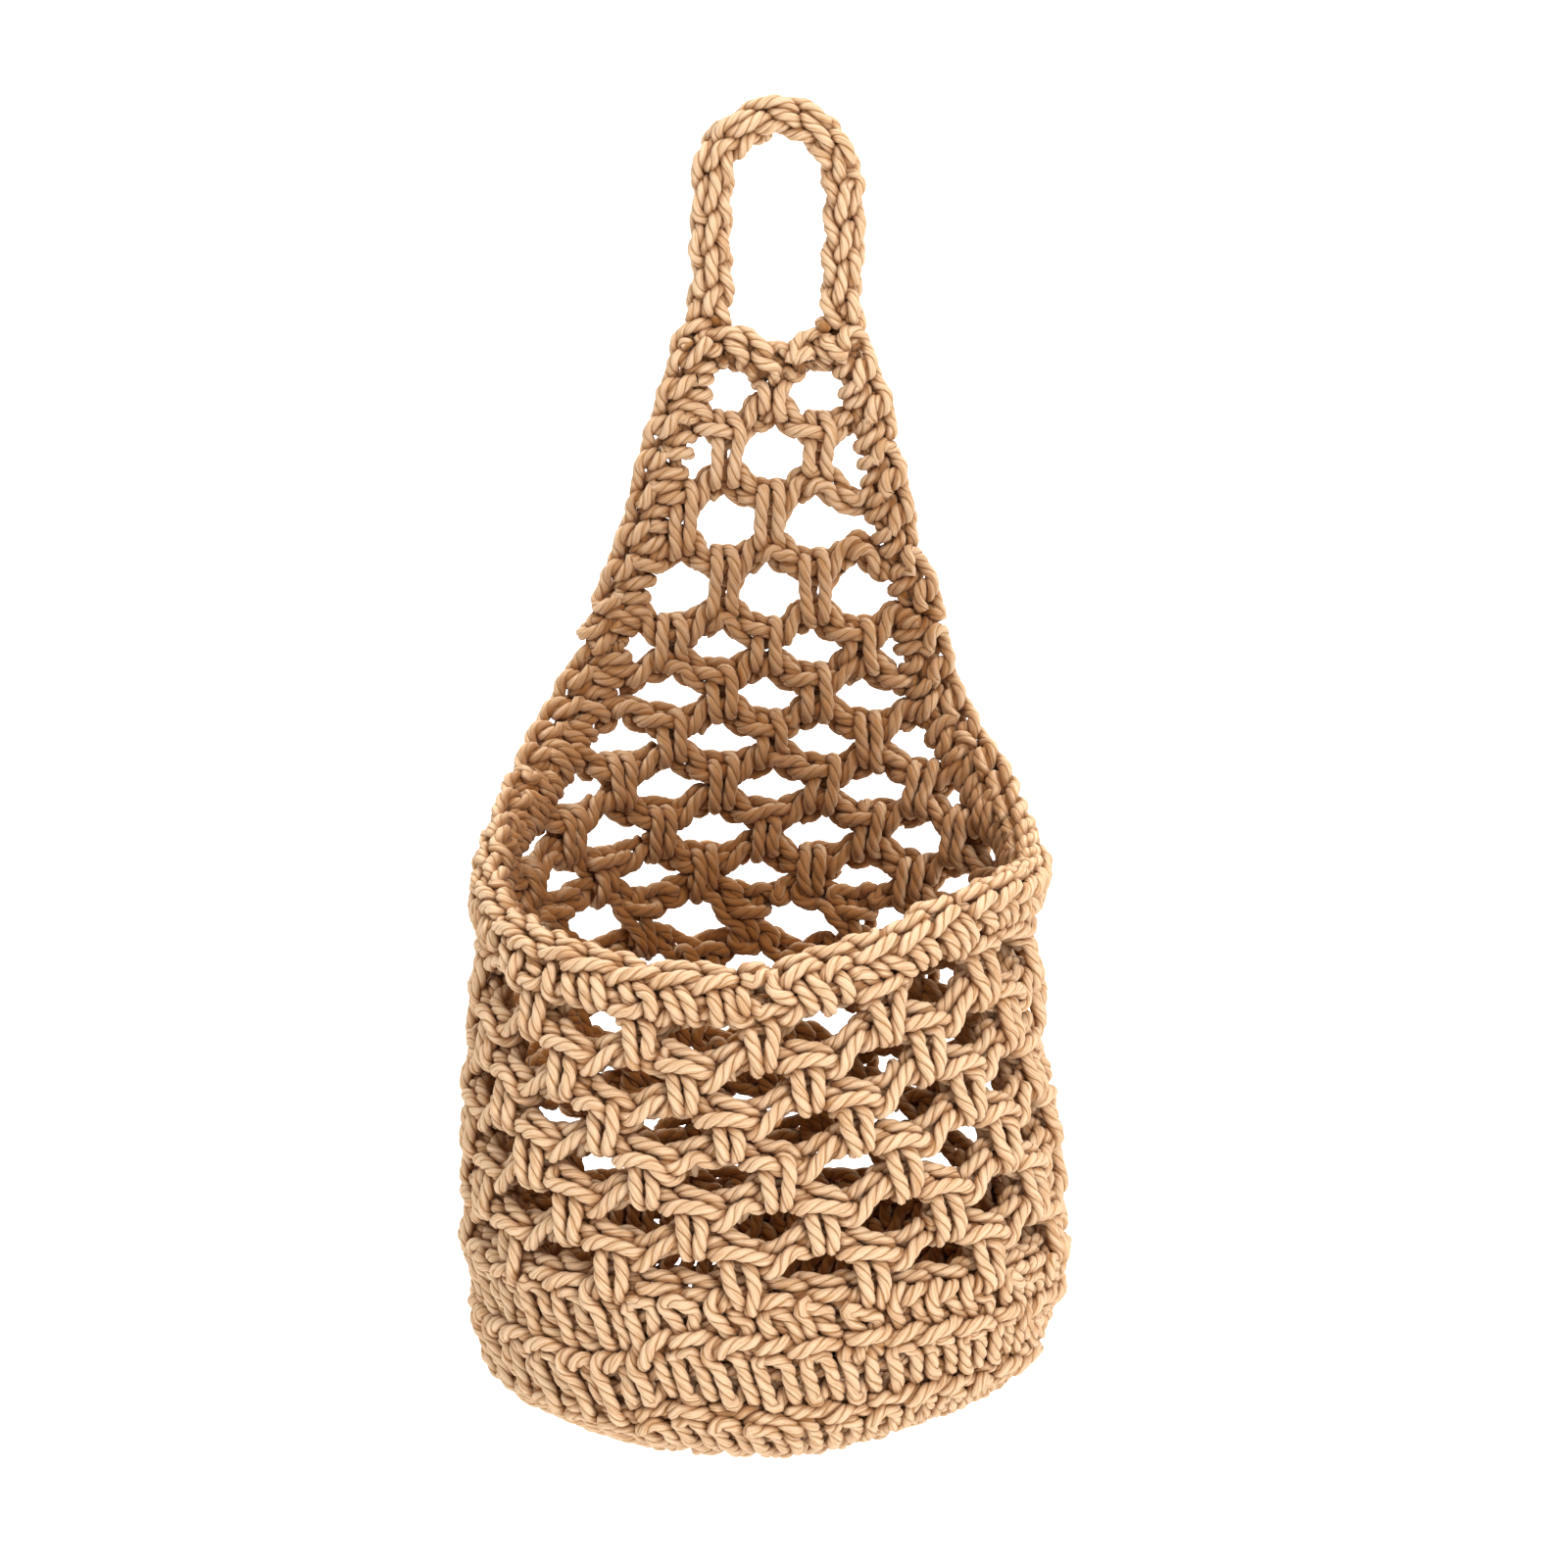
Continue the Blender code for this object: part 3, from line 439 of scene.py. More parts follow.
def cotton_group():
    group = bpy.data.node_groups.new("Twisted cotton", "ShaderNodeTree")
    for name in ("Light", "Dark_tone_and_painted_shade", "Painted_deepest_shade"):
        group.interface.new_socket(name, in_out="INPUT", socket_type="NodeSocketColor")
    for name, kind in (("Color", "NodeSocketColor"), ("Height", "NodeSocketFloat")):
        group.interface.new_socket(name, in_out="OUTPUT", socket_type=kind)
    nodes, links = group.nodes, group.links
    inside, outside = nodes.new("NodeGroupInput"), nodes.new("NodeGroupOutput")
    uv = nodes.new("ShaderNodeUVMap")
    uv.uv_map = "cord"
    split = nodes.new("ShaderNodeSeparateXYZ")
    links.new(uv.outputs["UV"], split.inputs[0])

    def math_node(operation, first, second=None, third=None):
        node = nodes.new("ShaderNodeMath")
        node.operation = operation
        for socket, value in zip(node.inputs, (first, second, third)):
            if value is None:
                continue
            if isinstance(value, (int, float)):
                socket.default_value = value
            else:
                links.new(value, socket)
        return node.outputs[0]

    def noise_node(vector, scale, detail, roughness):
        node = nodes.new("ShaderNodeTexNoise")
        for socket, value in zip(("Scale", "Detail", "Roughness"), (scale, detail, roughness)):
            node.inputs[socket].default_value = value
        links.new(vector, node.inputs["Vector"])
        return node.outputs["Fac"]

    u, v = split.outputs[0], split.outputs[1]
    across = math_node("FRACT", math_node("MULTIPLY", u, 3.0))
    off_lobe = math_node("ABSOLUTE", math_node("SUBTRACT", across, 0.5))
    groove = nodes.new("ShaderNodeMapRange")
    groove.interpolation_type = "SMOOTHSTEP"
    links.new(off_lobe, groove.inputs["Value"])
    groove.inputs["From Min"].default_value = GROOVE_START
    groove.inputs["From Max"].default_value = 0.5
    fibre_place = nodes.new("ShaderNodeCombineXYZ")
    round_cord = math_node("MULTIPLY_ADD", v, FIBRE_LEAN, u)
    links.new(math_node("MULTIPLY", round_cord, FIBRES_ROUND), fibre_place.inputs[0])
    links.new(math_node("MULTIPLY", v, FIBRES_ALONG), fibre_place.inputs[1])
    fibres = noise_node(fibre_place.outputs[0], 1.0, 3.0, 0.65)
    patches = noise_node(nodes.new("ShaderNodeTexCoord").outputs["Object"], PATCH_SCALE, 2.0, 0.5)
    # Painted shade: the grooves between the plies are darkened; the fibres and the patches are the
    # cotton's own tone
    shade = math_node("ADD", math_node("MULTIPLY", groove.outputs[0], GROOVE_PAINTED_SHADE),
                      math_node("MULTIPLY_ADD", fibres, FIBRE_SHADE, -0.45 * FIBRE_SHADE))
    patch_shade = math_node("MULTIPLY_ADD", patches, PATCH_SHADE, -0.5 * PATCH_SHADE)
    shade = math_node("ADD", shade, patch_shade)
    # Painted shade from the skin's number: where cords press together and where the skin faces into the
    # basket
    painted_crease_shade = nodes.new("ShaderNodeAttribute")
    painted_crease_shade.attribute_name = "painted_crease_shade"
    shade = math_node("ADD", shade, math_node("MULTIPLY", painted_crease_shade.outputs["Fac"], CREASE_PAINTED_SHADE))

    def mix_node(factor, first, second):
        node = nodes.new("ShaderNodeMix")
        node.data_type = "RGBA"
        for socket, value in zip(("Factor", "A", "B"), (factor, first, second)):
            links.new(value, node.inputs[socket])
        return node.outputs["Result"]

    tan = mix_node(shade, inside.outputs["Light"], inside.outputs["Dark_tone_and_painted_shade"])
    # The darkest painted shade, strongest where cords press hardest and low in the hollow
    painted_deep_shade = math_node("POWER", painted_crease_shade.outputs["Fac"], PAINTED_DEEP_SHADE_POWER)
    links.new(mix_node(painted_deep_shade, tan, inside.outputs["Painted_deepest_shade"]), outside.inputs["Color"])
    height = math_node("SUBTRACT", math_node("MULTIPLY", fibres, -1.0),
                       math_node("MULTIPLY", groove.outputs[0], GROOVE_HEIGHT))
    links.new(height, outside.inputs["Height"])
    return group


COTTON_GROUP = cotton_group()


def cotton_material(name, light, shade, painted_deep_shade):
    material = bpy.data.materials.new(name)
    material.use_nodes = True
    nodes, links = material.node_tree.nodes, material.node_tree.links
    shader = nodes["Principled BSDF"]
    cotton = nodes.new("ShaderNodeGroup")
    cotton.node_tree = COTTON_GROUP
    for socket, color in (("Light", light), ("Dark_tone_and_painted_shade", shade), ("Painted_deepest_shade", painted_deep_shade)):
        cotton.inputs[socket].default_value = (*color, 1.0)
    bump = nodes.new("ShaderNodeBump")
    bump.inputs["Strength"].default_value = 0.8
    bump.inputs["Distance"].default_value = 0.5 * MM
    links.new(cotton.outputs["Height"], bump.inputs["Height"])
    links.new(cotton.outputs["Color"], shader.inputs["Base Color"])
    links.new(bump.outputs["Normal"], shader.inputs["Normal"])
    for socket, value in COTTON_SURFACE.items():
        shader.inputs[socket].default_value = value
    return material


# One cotton: its light tone, a darker colour for both its own fibres and patches and the painted shade of
# grooves and creases, and the darkest painted shade for pressed places and the hollow
COTTON = cotton_material("tan_cotton_cord", light=(0.85, 0.60, 0.385), shade=(0.54, 0.27, 0.10),
                         painted_deep_shade=(0.25, 0.085, 0.014))


# %% [markdown]
# ## The chain loop
# Every stitch ends in the same loop: the cord comes up from behind, runs forward, turns back round the
# next loop's neck and goes down again, and a bump behind leads on to the next one. Seen from outside
# the two arms make a V. Measures here are in millimetres along, across and out.

# %% Chain loop
STITCHES = CELLS_AROUND * 3
wobble = np.random.default_rng(5)


def loosened(points, amount=0.32, drift=0.42):
    """Hand work isn't even, so each stitch as a whole and each of its points are moved a little."""
    points = np.asarray(points, float)
    moved = wobble.normal(0.0, amount, points.shape) + wobble.normal(0.0, drift, 3)
    return points + moved * (1.0, 0.9, 0.6)


def chain_loop(neck, pitch, width, front, tilt):
    """Two arms that start close together at the neck and part towards the next loop, and the bump."""
    near = [
        (0.9, 1.0, -0.9), (0.30 * pitch, 0.5 * width, 0.75 * front), (0.62 * pitch, 0.78 * width, front),
        (0.96 * pitch, width, 0.25 * front - 0.2), (pitch + 1.9, 0.72 * width, -1.7),
    ]
    points = [(-0.6, -0.4, -2.9)] + [(s, -a, b) for s, a, b in near] + [(pitch + 2.8, 0.0, -2.1)]
    points += near[::-1] + [(0.0, 0.5, -2.8), (0.35 * pitch, 0.3, -3.9), (0.75 * pitch, -0.2, -3.7)]
    turn = math.radians(tilt)
    along, across, out = loosened(points).T
    rise = across * math.cos(turn) + out * math.sin(turn)
    out = out * math.cos(turn) - across * math.sin(turn)
    return np.stack([along + neck, rise, out], axis=-1)


# %% [markdown]
# ## Tall stitches for the base and the dense wall
# The base and the lower wall are solid rounds. A tall stitch shows one long leg that leans, a short
# loop beside its top and a second leg that lies deeper. Each round is worked into the one below, so the
# same stitch serves for the flat base and for the wall, and only its height changes.

# %% Tall stitch
def tall_stitch(neck, height, flatten):
    """The cord's way down behind, up the long leg, over the loop, down the short leg and up again."""
    h = height
    points = loosened([
        (-7.5, -1.5, -3.0), (-9.0, -0.35 * h, -2.6), (-9.2, -0.7 * h, -2.2), (-8.0, 0.6 - h, -2.2),
        (-6.4, -1.0 - h, -0.4), (-4.4, 0.4 - h, 1.9), (-2.7, -0.7 * h, 2.5), (-0.6, -0.35 * h, 2.7),
        (1.2, -2.6, 2.0), (0.6, -0.9, 0.6), (-1.8, -1.5, 2.0), (-4.4, -2.9, 2.8), (-6.6, -4.3, 2.2),
        (-7.2, -6.4, 1.0), (-8.4, -0.68 * h, 0.9), (-9.6, 1.2 - h, 0.7), (-9.0, -0.6 - h, -1.6),
        (-5.8, -0.75 * h, -2.6), (-3.4, -0.4 * h, -2.7), (-1.2, -3.0, -3.0),
    ])
    return points * (1.0, 1.0, flatten) + (neck, 0.0, 0.0)


SEAM = -6.3 * BODY_CELL
SEAM_RAMP = 16.0 * MM
LINE_OVERRUN = 0.030
INNER_STEP, INNER_OUT = 4.0, -0.4


def dense_line(climb):
    """A round's line. Beside the seam it comes down from the end of the turn to its start."""
    along = np.linspace(SEAM - LINE_OVERRUN, SEAM + RIM_PERIMETER + LINE_OVERRUN, 520)
    turned = (along - SEAM) % RIM_PERIMETER
    down = 1.0 - smooth(turned / SEAM_RAMP)
    return Line(along, dense_climb(SEAM + turned + down * (RIM_PERIMETER - turned), climb))


def dense_round(line, count, height, width, front, tilt, flatten):
    """A round of tall stitches with its ring of loops on top, and the cord that its legs go round."""
    low, high = np.interp([SEAM, SEAM + RIM_PERIMETER], line.along, line.run) / MM
    pitch = (high - low) / count
    points = []
    for k in range(count):
        neck = low + pitch * k
        points.append(tall_stitch(neck, height, flatten))
        points.append(chain_loop(neck, pitch, width, front, tilt) * (1.0, 1.0, flatten))
    run = np.arange(low, high, INNER_STEP)
    rise, out = np.full_like(run, -0.5 * height), np.full_like(run, INNER_OUT)
    inner = loosened(np.stack([run, rise, out], axis=-1))
    return [line.place(np.concatenate(points) * MM), line.place(inner * MM)]


# name: climb of its top loops, stitches, height, loop's half width, how far its front stands, tilt,
# flattening of the thickness, nodes
ROUNDS = {
    "base_centre_cord": (-37.0, 10, 16.0, 2.3, 1.2, 20.0, 0.62, ("base_centre",)),
    "base_ring_inner_cord": (-19.0, 20, 17.5, 2.3, 1.2, 20.0, 0.62, ("base_ring_inner",)),
    "base_ring_outer_cord": (0.0, 34, 18.0, 2.4, 1.4, 20.0, 0.70, ("base_ring_outer",)),
    "turning_round_cord": (21.0, STITCHES, 19.5, 1.9, -0.4, 80.0, 0.8, ("turning_round",)),
    "lower_wall_cord": (38.5, STITCHES, 18.5, 3.1, 2.8, 44.0, 0.9, ("lower_wall_round", "ridge_braid")),
    "upper_wall_cord": (55.3, STITCHES, 17.5, 2.9, 1.7, 44.0, 0.9, ("upper_wall_round", "wall_top_braid")),
}
for name, (climb, count, height, width, front, tilt, flatten, nodes) in ROUNDS.items():
    paths = dense_round(dense_line(climb * MM), count, height, width, front, tilt, flatten)
    work(name, paths, "basket", nodes)
print("dense rounds, cord in m:", planned_metres())


# %% [markdown]
# ## The open mesh
# The mesh is a row of short stitches, each worked round the arch below, with two chain loops between
# them. A cluster shows two legs that meet under the arch below and a fat loop on top. The rows go round
# the body and lean to one side, and above the rim they go on over the back only.

# %% Mesh rows
def legs(drop, feet, heads, front):
    """A cluster's cord, from behind its loop, round the arch below once for each leg, and back up."""
    d = drop
    points = [(heads[0] - 5.2, -0.6, -3.4)]
    for foot, head in zip(feet, heads):
        points += [
            (foot - 0.2, 1.5 - d, -3.9), (foot, -2.6 - d, -2.9), (foot, -4.0 - d, 0.1),
            (foot, -2.5 - d, 3.0), (0.4 * foot + 0.6 * head, 0.9 - d, front), (head, -2.2, 0.6 * front),
            (head + 0.9, -0.7, 0.0), (head + 1.6, -1.9, -2.6),
        ]
    return loosened(points + [(heads[0] - 2.6, -1.0, -3.4)])


# A chain's loops through one cell: neck as a share of the cell, half width, front, tilt
BODY_LOOPS = ((-0.22, 2.8, 2.4, 40.0), (0.175, 2.1, -1.0, 34.0), (0.45, 2.7, 0.9, 40.0))
RIM_LOOPS = ((-0.22, 2.2, 0.6, 55.0), (0.175, 1.8, -1.0, 50.0), (0.45, 2.1, 0.0, 50.0))
BACK_LOOPS = ((-0.20, 2.4, 0.8, 62.0), (0.18, 2.2, -0.2, 68.0), (0.50, 2.2, -0.2, 68.0))
TOP_LOOPS = ((-0.20, 1.2, -1.6, 60.0), (0.18, 1.2, -1.6, 60.0), (0.50, 1.2, -1.6, 60.0))

# A cluster's legs: where they go round the arch below, where they end above, how far their front stands
BODY_LEGS = ((-2.4, 0.9), (-3.4, 3.0), 2.9)
BACK_LEGS = ((-1.8, 1.8), (-2.9, 2.9), 2.9)


FOLD_RAIL_END, RAIL_SEARCH, RAIL_STEP = 0.046, 0.17, 1.5 * MM
BACK_TUCK, PANEL_TUCK, END_ROOM = 1.0 * MM, 3.0 * MM, 4.0 * MM
WHOLE_ROW, NO_ROW = 1.0, -1.0
ROUND_START, MOST_CELLS, LAST_NECK_ROOM = 7.5, 9, 3.0 * MM


def corner_distance(side):
    return RIM_PERIMETER / 2.0 - (LEFT_CORNER if side < 0 else RIGHT_CORNER)


def corner_power(side):
    return LEFT_CORNER_POWER if side < 0 else RIGHT_CORNER_POWER


def rim_foot(along):
    return row_climb(MESH_ROUNDS, along) + RAIL_SEAT


def hem_limit(row, along):
    """The climb of the side borders' inner edge over a place, or whether all or none of it is inside."""
    side, distance = -1 if along < 0 else 1, abs(along)
    if row > FOLD_ROW:
        share = (FOLD_INNER - distance) / (FOLD_INNER - TOP_INNER)
        return WHOLE_ROW if share > 1.0 else FOLD_CLIMB + share * (PANEL_END - FOLD_CLIMB)
    if distance <= FOLD_INNER:
        return WHOLE_ROW
    if distance >= corner_distance(side):
        return NO_ROW
    across = (corner_distance(side) - distance) / (corner_distance(side) - FOLD_INNER)
    down = (1.0 - across ** corner_power(side)) ** (1.0 / corner_power(side))
    return FOLD_CLIMB - (FOLD_CLIMB - float(rim_foot(along))) * down


def rail_limits(row):
    """Where an open row's chain starts and ends, under the side borders."""
    along = np.linspace(-RAIL_SEARCH, RAIL_SEARCH, 1361)
    room = np.array([hem_limit(row, place) for place in along]) - row_climb(row, along)
    inside = along[room > (-PANEL_TUCK if row > FOLD_ROW else -BACK_TUCK)]
    return inside.min(), inside.max()


def mesh_row(row):
    """One row's cord: legs, fat loop and chain loops through each cell. Open rows run leftwards."""
    cell = cell_length(row)
    closed = row <= MESH_ROUNDS
    way = 1.0 if closed else -1.0
    offset = row_offset(row)
    if closed:
        first = (offset - ROUND_START) * cell
        last = first + RIM_PERIMETER
    elif row == FOLD_ROW:
        first, last = -FOLD_RAIL_END, FOLD_RAIL_END
    else:
        low, high = rail_limits(row)
        first, last = -high, -low
    travel = np.arange(first - LINE_OVERRUN, last + LINE_OVERRUN, RAIL_STEP)
    line = Line(way * travel, row_climb(row, way * travel), face=way)
    loops = {MESH_ROUNDS: RIM_LOOPS, TOP_ROW: TOP_LOOPS}.get(row, BODY_LOOPS if closed else BACK_LOOPS)
    # A neck is where a loop starts, in cells, its number in the cell's pattern, its shape and its cell
    necks = []
    for k in range(-MOST_CELLS, MOST_CELLS + 1):
        for j, shape in enumerate(loops):
            necks.append((k + way * offset + shape[0], j, shape, k + way * offset))
    room = 0.0 if closed else LAST_NECK_ROOM
    necks = [neck for neck in necks if first - 1e-6 <= neck[0] * cell < last - room]
    end = math.inf if closed else (last + END_ROOM) / cell
    if not closed:
        necks.insert(0, (first / cell, 1, loops[1], 0.0))
    points = []
    for index, (neck, j, shape, own) in enumerate(necks):
        after = necks[index + 1][0] if index + 1 < len(necks) else min(neck + 1.0 / 3.0, end)
        here, there, middle = np.interp([neck * cell, after * cell, own * cell], travel, line.run) / MM
        if j == 0 and first + END_ROOM < own * cell < last - END_ROOM:
            spot = np.array([way * own * cell])
            below = row_climb(row - 1, spot) + zigzag(row - 1, spot)
            drop = float(row_climb(row, spot)[0] - below[0]) / MM
            points.append(legs(drop, *(BODY_LEGS if closed else BACK_LEGS)) + (middle, 0.0, 0.0))
        loop = chain_loop(here, there - here, *shape[1:])
        at = np.interp(loop[:, 0] * MM, line.run, line.along)
        loop[:, 1] += zigzag(row, at) / MM
        points.append(loop)
    return line.place(np.concatenate(points) * MM)


for row in range(1, TOP_ROW + 1):
    if row <= MESH_ROUNDS:
        name, body = f"mesh_round_{row}", "basket"
    elif row < FOLD_ROW:
        name, body = f"back_row_{row - MESH_ROUNDS}", "basket"
    elif row == FOLD_ROW:
        name, body = "fold_row", "basket"
    else:
        name, body = f"panel_row_{row - FOLD_ROW}", "upper_panel"
    work(name + "_cord", [mesh_row(row)], body, (name,))
print("with the mesh, cord in m:", planned_metres())


# %% [markdown]
# ## The border
# The open edge is finished with one round of short stitches: along the front rim, up the sides of the
# back, round the upper panel and over its top. Their legs go round the mesh's last arches and their
# loops make the braid along the edge. The braid's line is measured, so its stitches come out even.

# %% Border
BRAID_PITCH, BRAID_TILT = 10.6, 42.0
SIDE_LEAN, RIM_LEAN = 1.2, 3.0
EDGE_CORD_STEP, DIRECTION_SPREAD = 5.0, 25


def short_legs(neck, height, pitch, lean):
    """Two legs, evenly spaced along the border, whose feet lie a little behind their heads."""
    h, half = height, 0.25 * pitch
    points = [(-2.9 - half, -3.0, -2.8)]
    for head in (-half, half):
        foot = head - lean
        points += [
            (foot - 0.6, -0.6 * h, -3.3), (foot - 0.2, 0.5 - h, -2.6), (foot, -1.0 - h, 0.0),
            (foot, 0.6 - h, 2.3), (head - 0.3 - 0.5 * lean, -0.55 * h, 2.7), (head - 0.6, -2.7, 1.6),
            (head + 0.8, -1.2, -0.6),
        ]
    return loosened(points + [(half - 0.6, -2.6, -3.0)]) + (neck, 0.0, 0.0)


def hem_curve(side):
    """The side border's inner edge from the rim's corner up to the fold."""
    share = np.linspace(0.0, 1.0, 160)
    corner, power = corner_distance(side), corner_power(side)
    across = np.sin(np.pi / 2.0 * share) ** (2.0 / power)
    down = np.cos(np.pi / 2.0 * share).clip(0.0) ** (2.0 / power)
    along = side * (corner - (corner - FOLD_INNER) * across)
    return along, FOLD_CLIMB - (FOLD_CLIMB - rim_foot(along)) * down


def border_line(along, climb, reach):
    """The braid's line beside an edge, at a reach in mm that may change from one end to the other."""
    run = run_along(np.stack([along, climb], axis=-1))
    even = np.linspace(0.0, run[-1], 240)
    along, climb = np.interp(even, run, along), np.interp(even, run, climb)
    forward = np.stack([np.gradient(along), np.gradient(climb)], axis=-1)
    kernel = np.ones(DIRECTION_SPREAD) / DIRECTION_SPREAD
    margin = DIRECTION_SPREAD // 2
    padded = np.pad(forward, ((margin, margin), (0, 0)), mode="edge")
    forward = np.stack([np.convolve(padded[:, k], kernel, mode="valid") for k in range(2)], axis=-1)
    stand = left_of(forward)
    reach = np.interp(even / run[-1], np.linspace(0.0, 1.0, len(reach)), reach) * MM
    return Line(along + stand[:, 0] * reach, climb + stand[:, 1] * reach, stand)


def border(line, reach, over, width=2.6, front=1.2, lean=SIDE_LEAN):
    """Short stitches whose legs reach down over the edge, with the braid of their loops."""
    length = line.run[-1] / MM
    count = round(length / BRAID_PITCH)
    pitch = length / count
    points = []
    for k in range(count):
        height = float(np.interp((k + 0.5) / count, np.linspace(0.0, 1.0, len(reach)), reach)) + over
        points.append(short_legs(pitch * k, height, pitch, lean))
        points.append(chain_loop(pitch * k, pitch, width, front, BRAID_TILT))
    return line.place(np.concatenate(points) * MM)


def edge_cord(line, reach, over, depth, front):
    """The turning cord of the rows' ends, which the side border's legs go round."""
    run = np.arange(1.0, line.run[-1] / MM - 1.0, EDGE_CORD_STEP)
    rise = -np.interp(run / run[-1], np.linspace(0.0, 1.0, len(reach)), reach) - over + depth
    points = loosened(np.stack([run, rise, np.full_like(run, front)], axis=-1), 0.3, 0.0)
    return line.place(points * MM)


RIM_SEAM = -6.9 * BODY_CELL
rim_left = np.linspace(RIM_SEAM, -corner_distance(-1), 60)
rim_right = np.linspace(corner_distance(1), RIM_SEAM + RIM_PERIMETER, 60)
left_along, left_climb = hem_curve(-1)
right_along, right_climb = hem_curve(1)
panel_climb = np.linspace(FOLD_CLIMB, PANEL_END + 2.5 * MM, 40)
panel_hem = FOLD_INNER + (TOP_INNER - FOLD_INNER) * (panel_climb - FOLD_CLIMB) / (PANEL_END - FOLD_CLIMB)
RIGHT_HEM_SHIFT, LEFT_HEM_SHIFT = 2.2 * MM, 0.8 * MM

# How far the edge's turning cord lies above the legs' feet and out, in mm
LEFT_EDGE_CORD, RIGHT_EDGE_CORD = (2.6, 0.0), (0.6, 0.8)

# name: the edge as along and climb, how far the braid lies over it from start to end in mm, how far the
# legs reach down past it in mm, body, nodes
BORDERS = {
    "rim_left_cord": (rim_left, rim_foot(rim_left), (3.2, 3.2, 3.2, 5.5), 5.6, "basket",
                      ("rim_row_left", "rim_braid_left")),
    "side_left_cord": (left_along, left_climb, (6.0, 7.6, 7.4, 6.4), 2.6, "basket",
                       ("side_row_left", "side_braid_left")),
    "panel_side_left_cord": (-panel_hem - LEFT_HEM_SHIFT, panel_climb, (6.2, 5.2, 4.8, 4.0, 0.8), 3.2,
                             "upper_panel", ("panel_side_row_left", "panel_side_braid_left")),
    "panel_side_right_cord": ((panel_hem + RIGHT_HEM_SHIFT)[::-1], panel_climb[::-1],
                              (-0.5, 3.4, 3.8, 4.2, 4.6), 1.4,
                              "upper_panel", ("panel_side_row_right", "panel_side_braid_right")),
    "side_right_cord": (right_along[::-1], right_climb[::-1], (6.4, 6.4, 6.0, 4.8), 2.6, "basket",
                        ("side_row_right", "side_braid_right")),
    "rim_right_cord": (rim_right, rim_foot(rim_right), (4.8, 3.2, 3.2, 3.2), 5.6, "basket",
                       ("rim_row_right", "rim_braid_right")),
}
for name, (along, climb, reach, over, body, nodes) in BORDERS.items():
    line = border_line(along, climb, reach)
    paths = [border(line, reach, over, lean=RIM_LEAN if "rim" in name else SIDE_LEAN)]
    if "side" in name:
        depth, front = RIGHT_EDGE_CORD if "right" in name else LEFT_EDGE_CORD
        paths.append(edge_cord(line, reach, over, depth, front))
    work(name, paths, body, nodes)

TOP_BRAID_END, TOP_REACH, TOP_OVER = 0.0225, 1.6, 1.0
top_along = np.linspace(-TOP_BRAID_END, TOP_BRAID_END, 60)
top_line = Line(top_along, row_climb(TOP_ROW, top_along) + TOP_REACH * MM)
top_path = border(top_line, (TOP_REACH,), TOP_OVER, width=2.0, front=0.8)
work("top_braid_cord", [top_path], "upper_panel", ("top_braid",))
print("with the borders, cord in m:", planned_metres())


# %% [markdown]
# ## The hanging loop
# The loop is a thick chain, closed with a second row of loops behind it, so it looks the same from both
# sides. It stands on the top border's corners and runs up, over and down again.

# %% Hanging loop
LOOP_FOOT_DEPTH = 3.0 * MM
LOOP_STITCH, LOOP_STITCH_SHARE = 11.0, 0.97
LOOP_WIDTH, LOOP_FRONT, LOOP_SHIFT = 2.4, 1.2, 1.3


def loop_line(face):
    centre = LOOP_TOP_CLIMB - LOOP_BAND / 2.0 - LOOP_ARC_RADIUS
    up = np.linspace(LOOP_HINGE_CLIMB - LOOP_FOOT_DEPTH, centre, 30)[:-1]
    leg = np.full(len(up), LOOP_LEG_PLACE)
    angle = np.linspace(math.pi, 0.0, 60)
    along = np.concatenate([-leg, LOOP_ARC_RADIUS * np.cos(angle), leg])
    climb = np.concatenate([up, centre + LOOP_ARC_RADIUS * np.sin(angle), up[::-1]])
    stand = left_of(np.stack([np.gradient(along), np.gradient(climb)], axis=-1))
    way = int(face)
    return Line(along[::way], climb[::way], stand[::way], face)


def loop_chain(face):
    """A chain whose front stands a little out of the loop's middle, on the side it faces."""
    line = loop_line(face)
    length = line.run[-1] / MM
    count = round(length / LOOP_STITCH)
    pitch = length / count
    points = []
    for k in range(count):
        stitch = chain_loop(pitch * k, pitch * LOOP_STITCH_SHARE, LOOP_WIDTH, LOOP_FRONT, 0.0)
        points.append(stitch + (0.0, 0.0, LOOP_SHIFT))
    return line.place(np.concatenate(points) * MM)


work("hanging_loop_cord", [loop_chain(1.0), loop_chain(-1.0)], "hanging_loop", ("hanging_loop",))
print("with the loop, cord in m:", planned_metres())


# %% [markdown]
# ## Let the cords settle
# Drawn by rule, some cords run a little into each other. In real crochet they press and shift until
# they only touch. A soft-body simulation of sixty metres of cord would be slow, so this step does the
# one thing that matters: places on different cords that are too close push each other apart, while each
# cord keeps its length, stays smooth and is held near the place where it was worked.

# %% Settle
TOUCH = 1.78 * CORD_RADIUS
SETTLE_ROUNDS, SEARCH_EVERY, SEARCH_SHARE, SAME_CORD_STEPS = 24, 3, 1.25, 4
PUSH_SHARE, PUSH_LIMIT, HOME_SHARE, BEND_SHARE, STRETCH_SHARE = 0.22, 0.25 * MM, 0.04, 0.12, 0.5
PRESSED_SHARE = 0.8
NEIGHBOURS = np.array([(x, y, z) for x in (-1, 0, 1) for y in (-1, 0, 1) for z in (-1, 0, 1)
                       if (x, y, z) >= (0, 0, 0)])


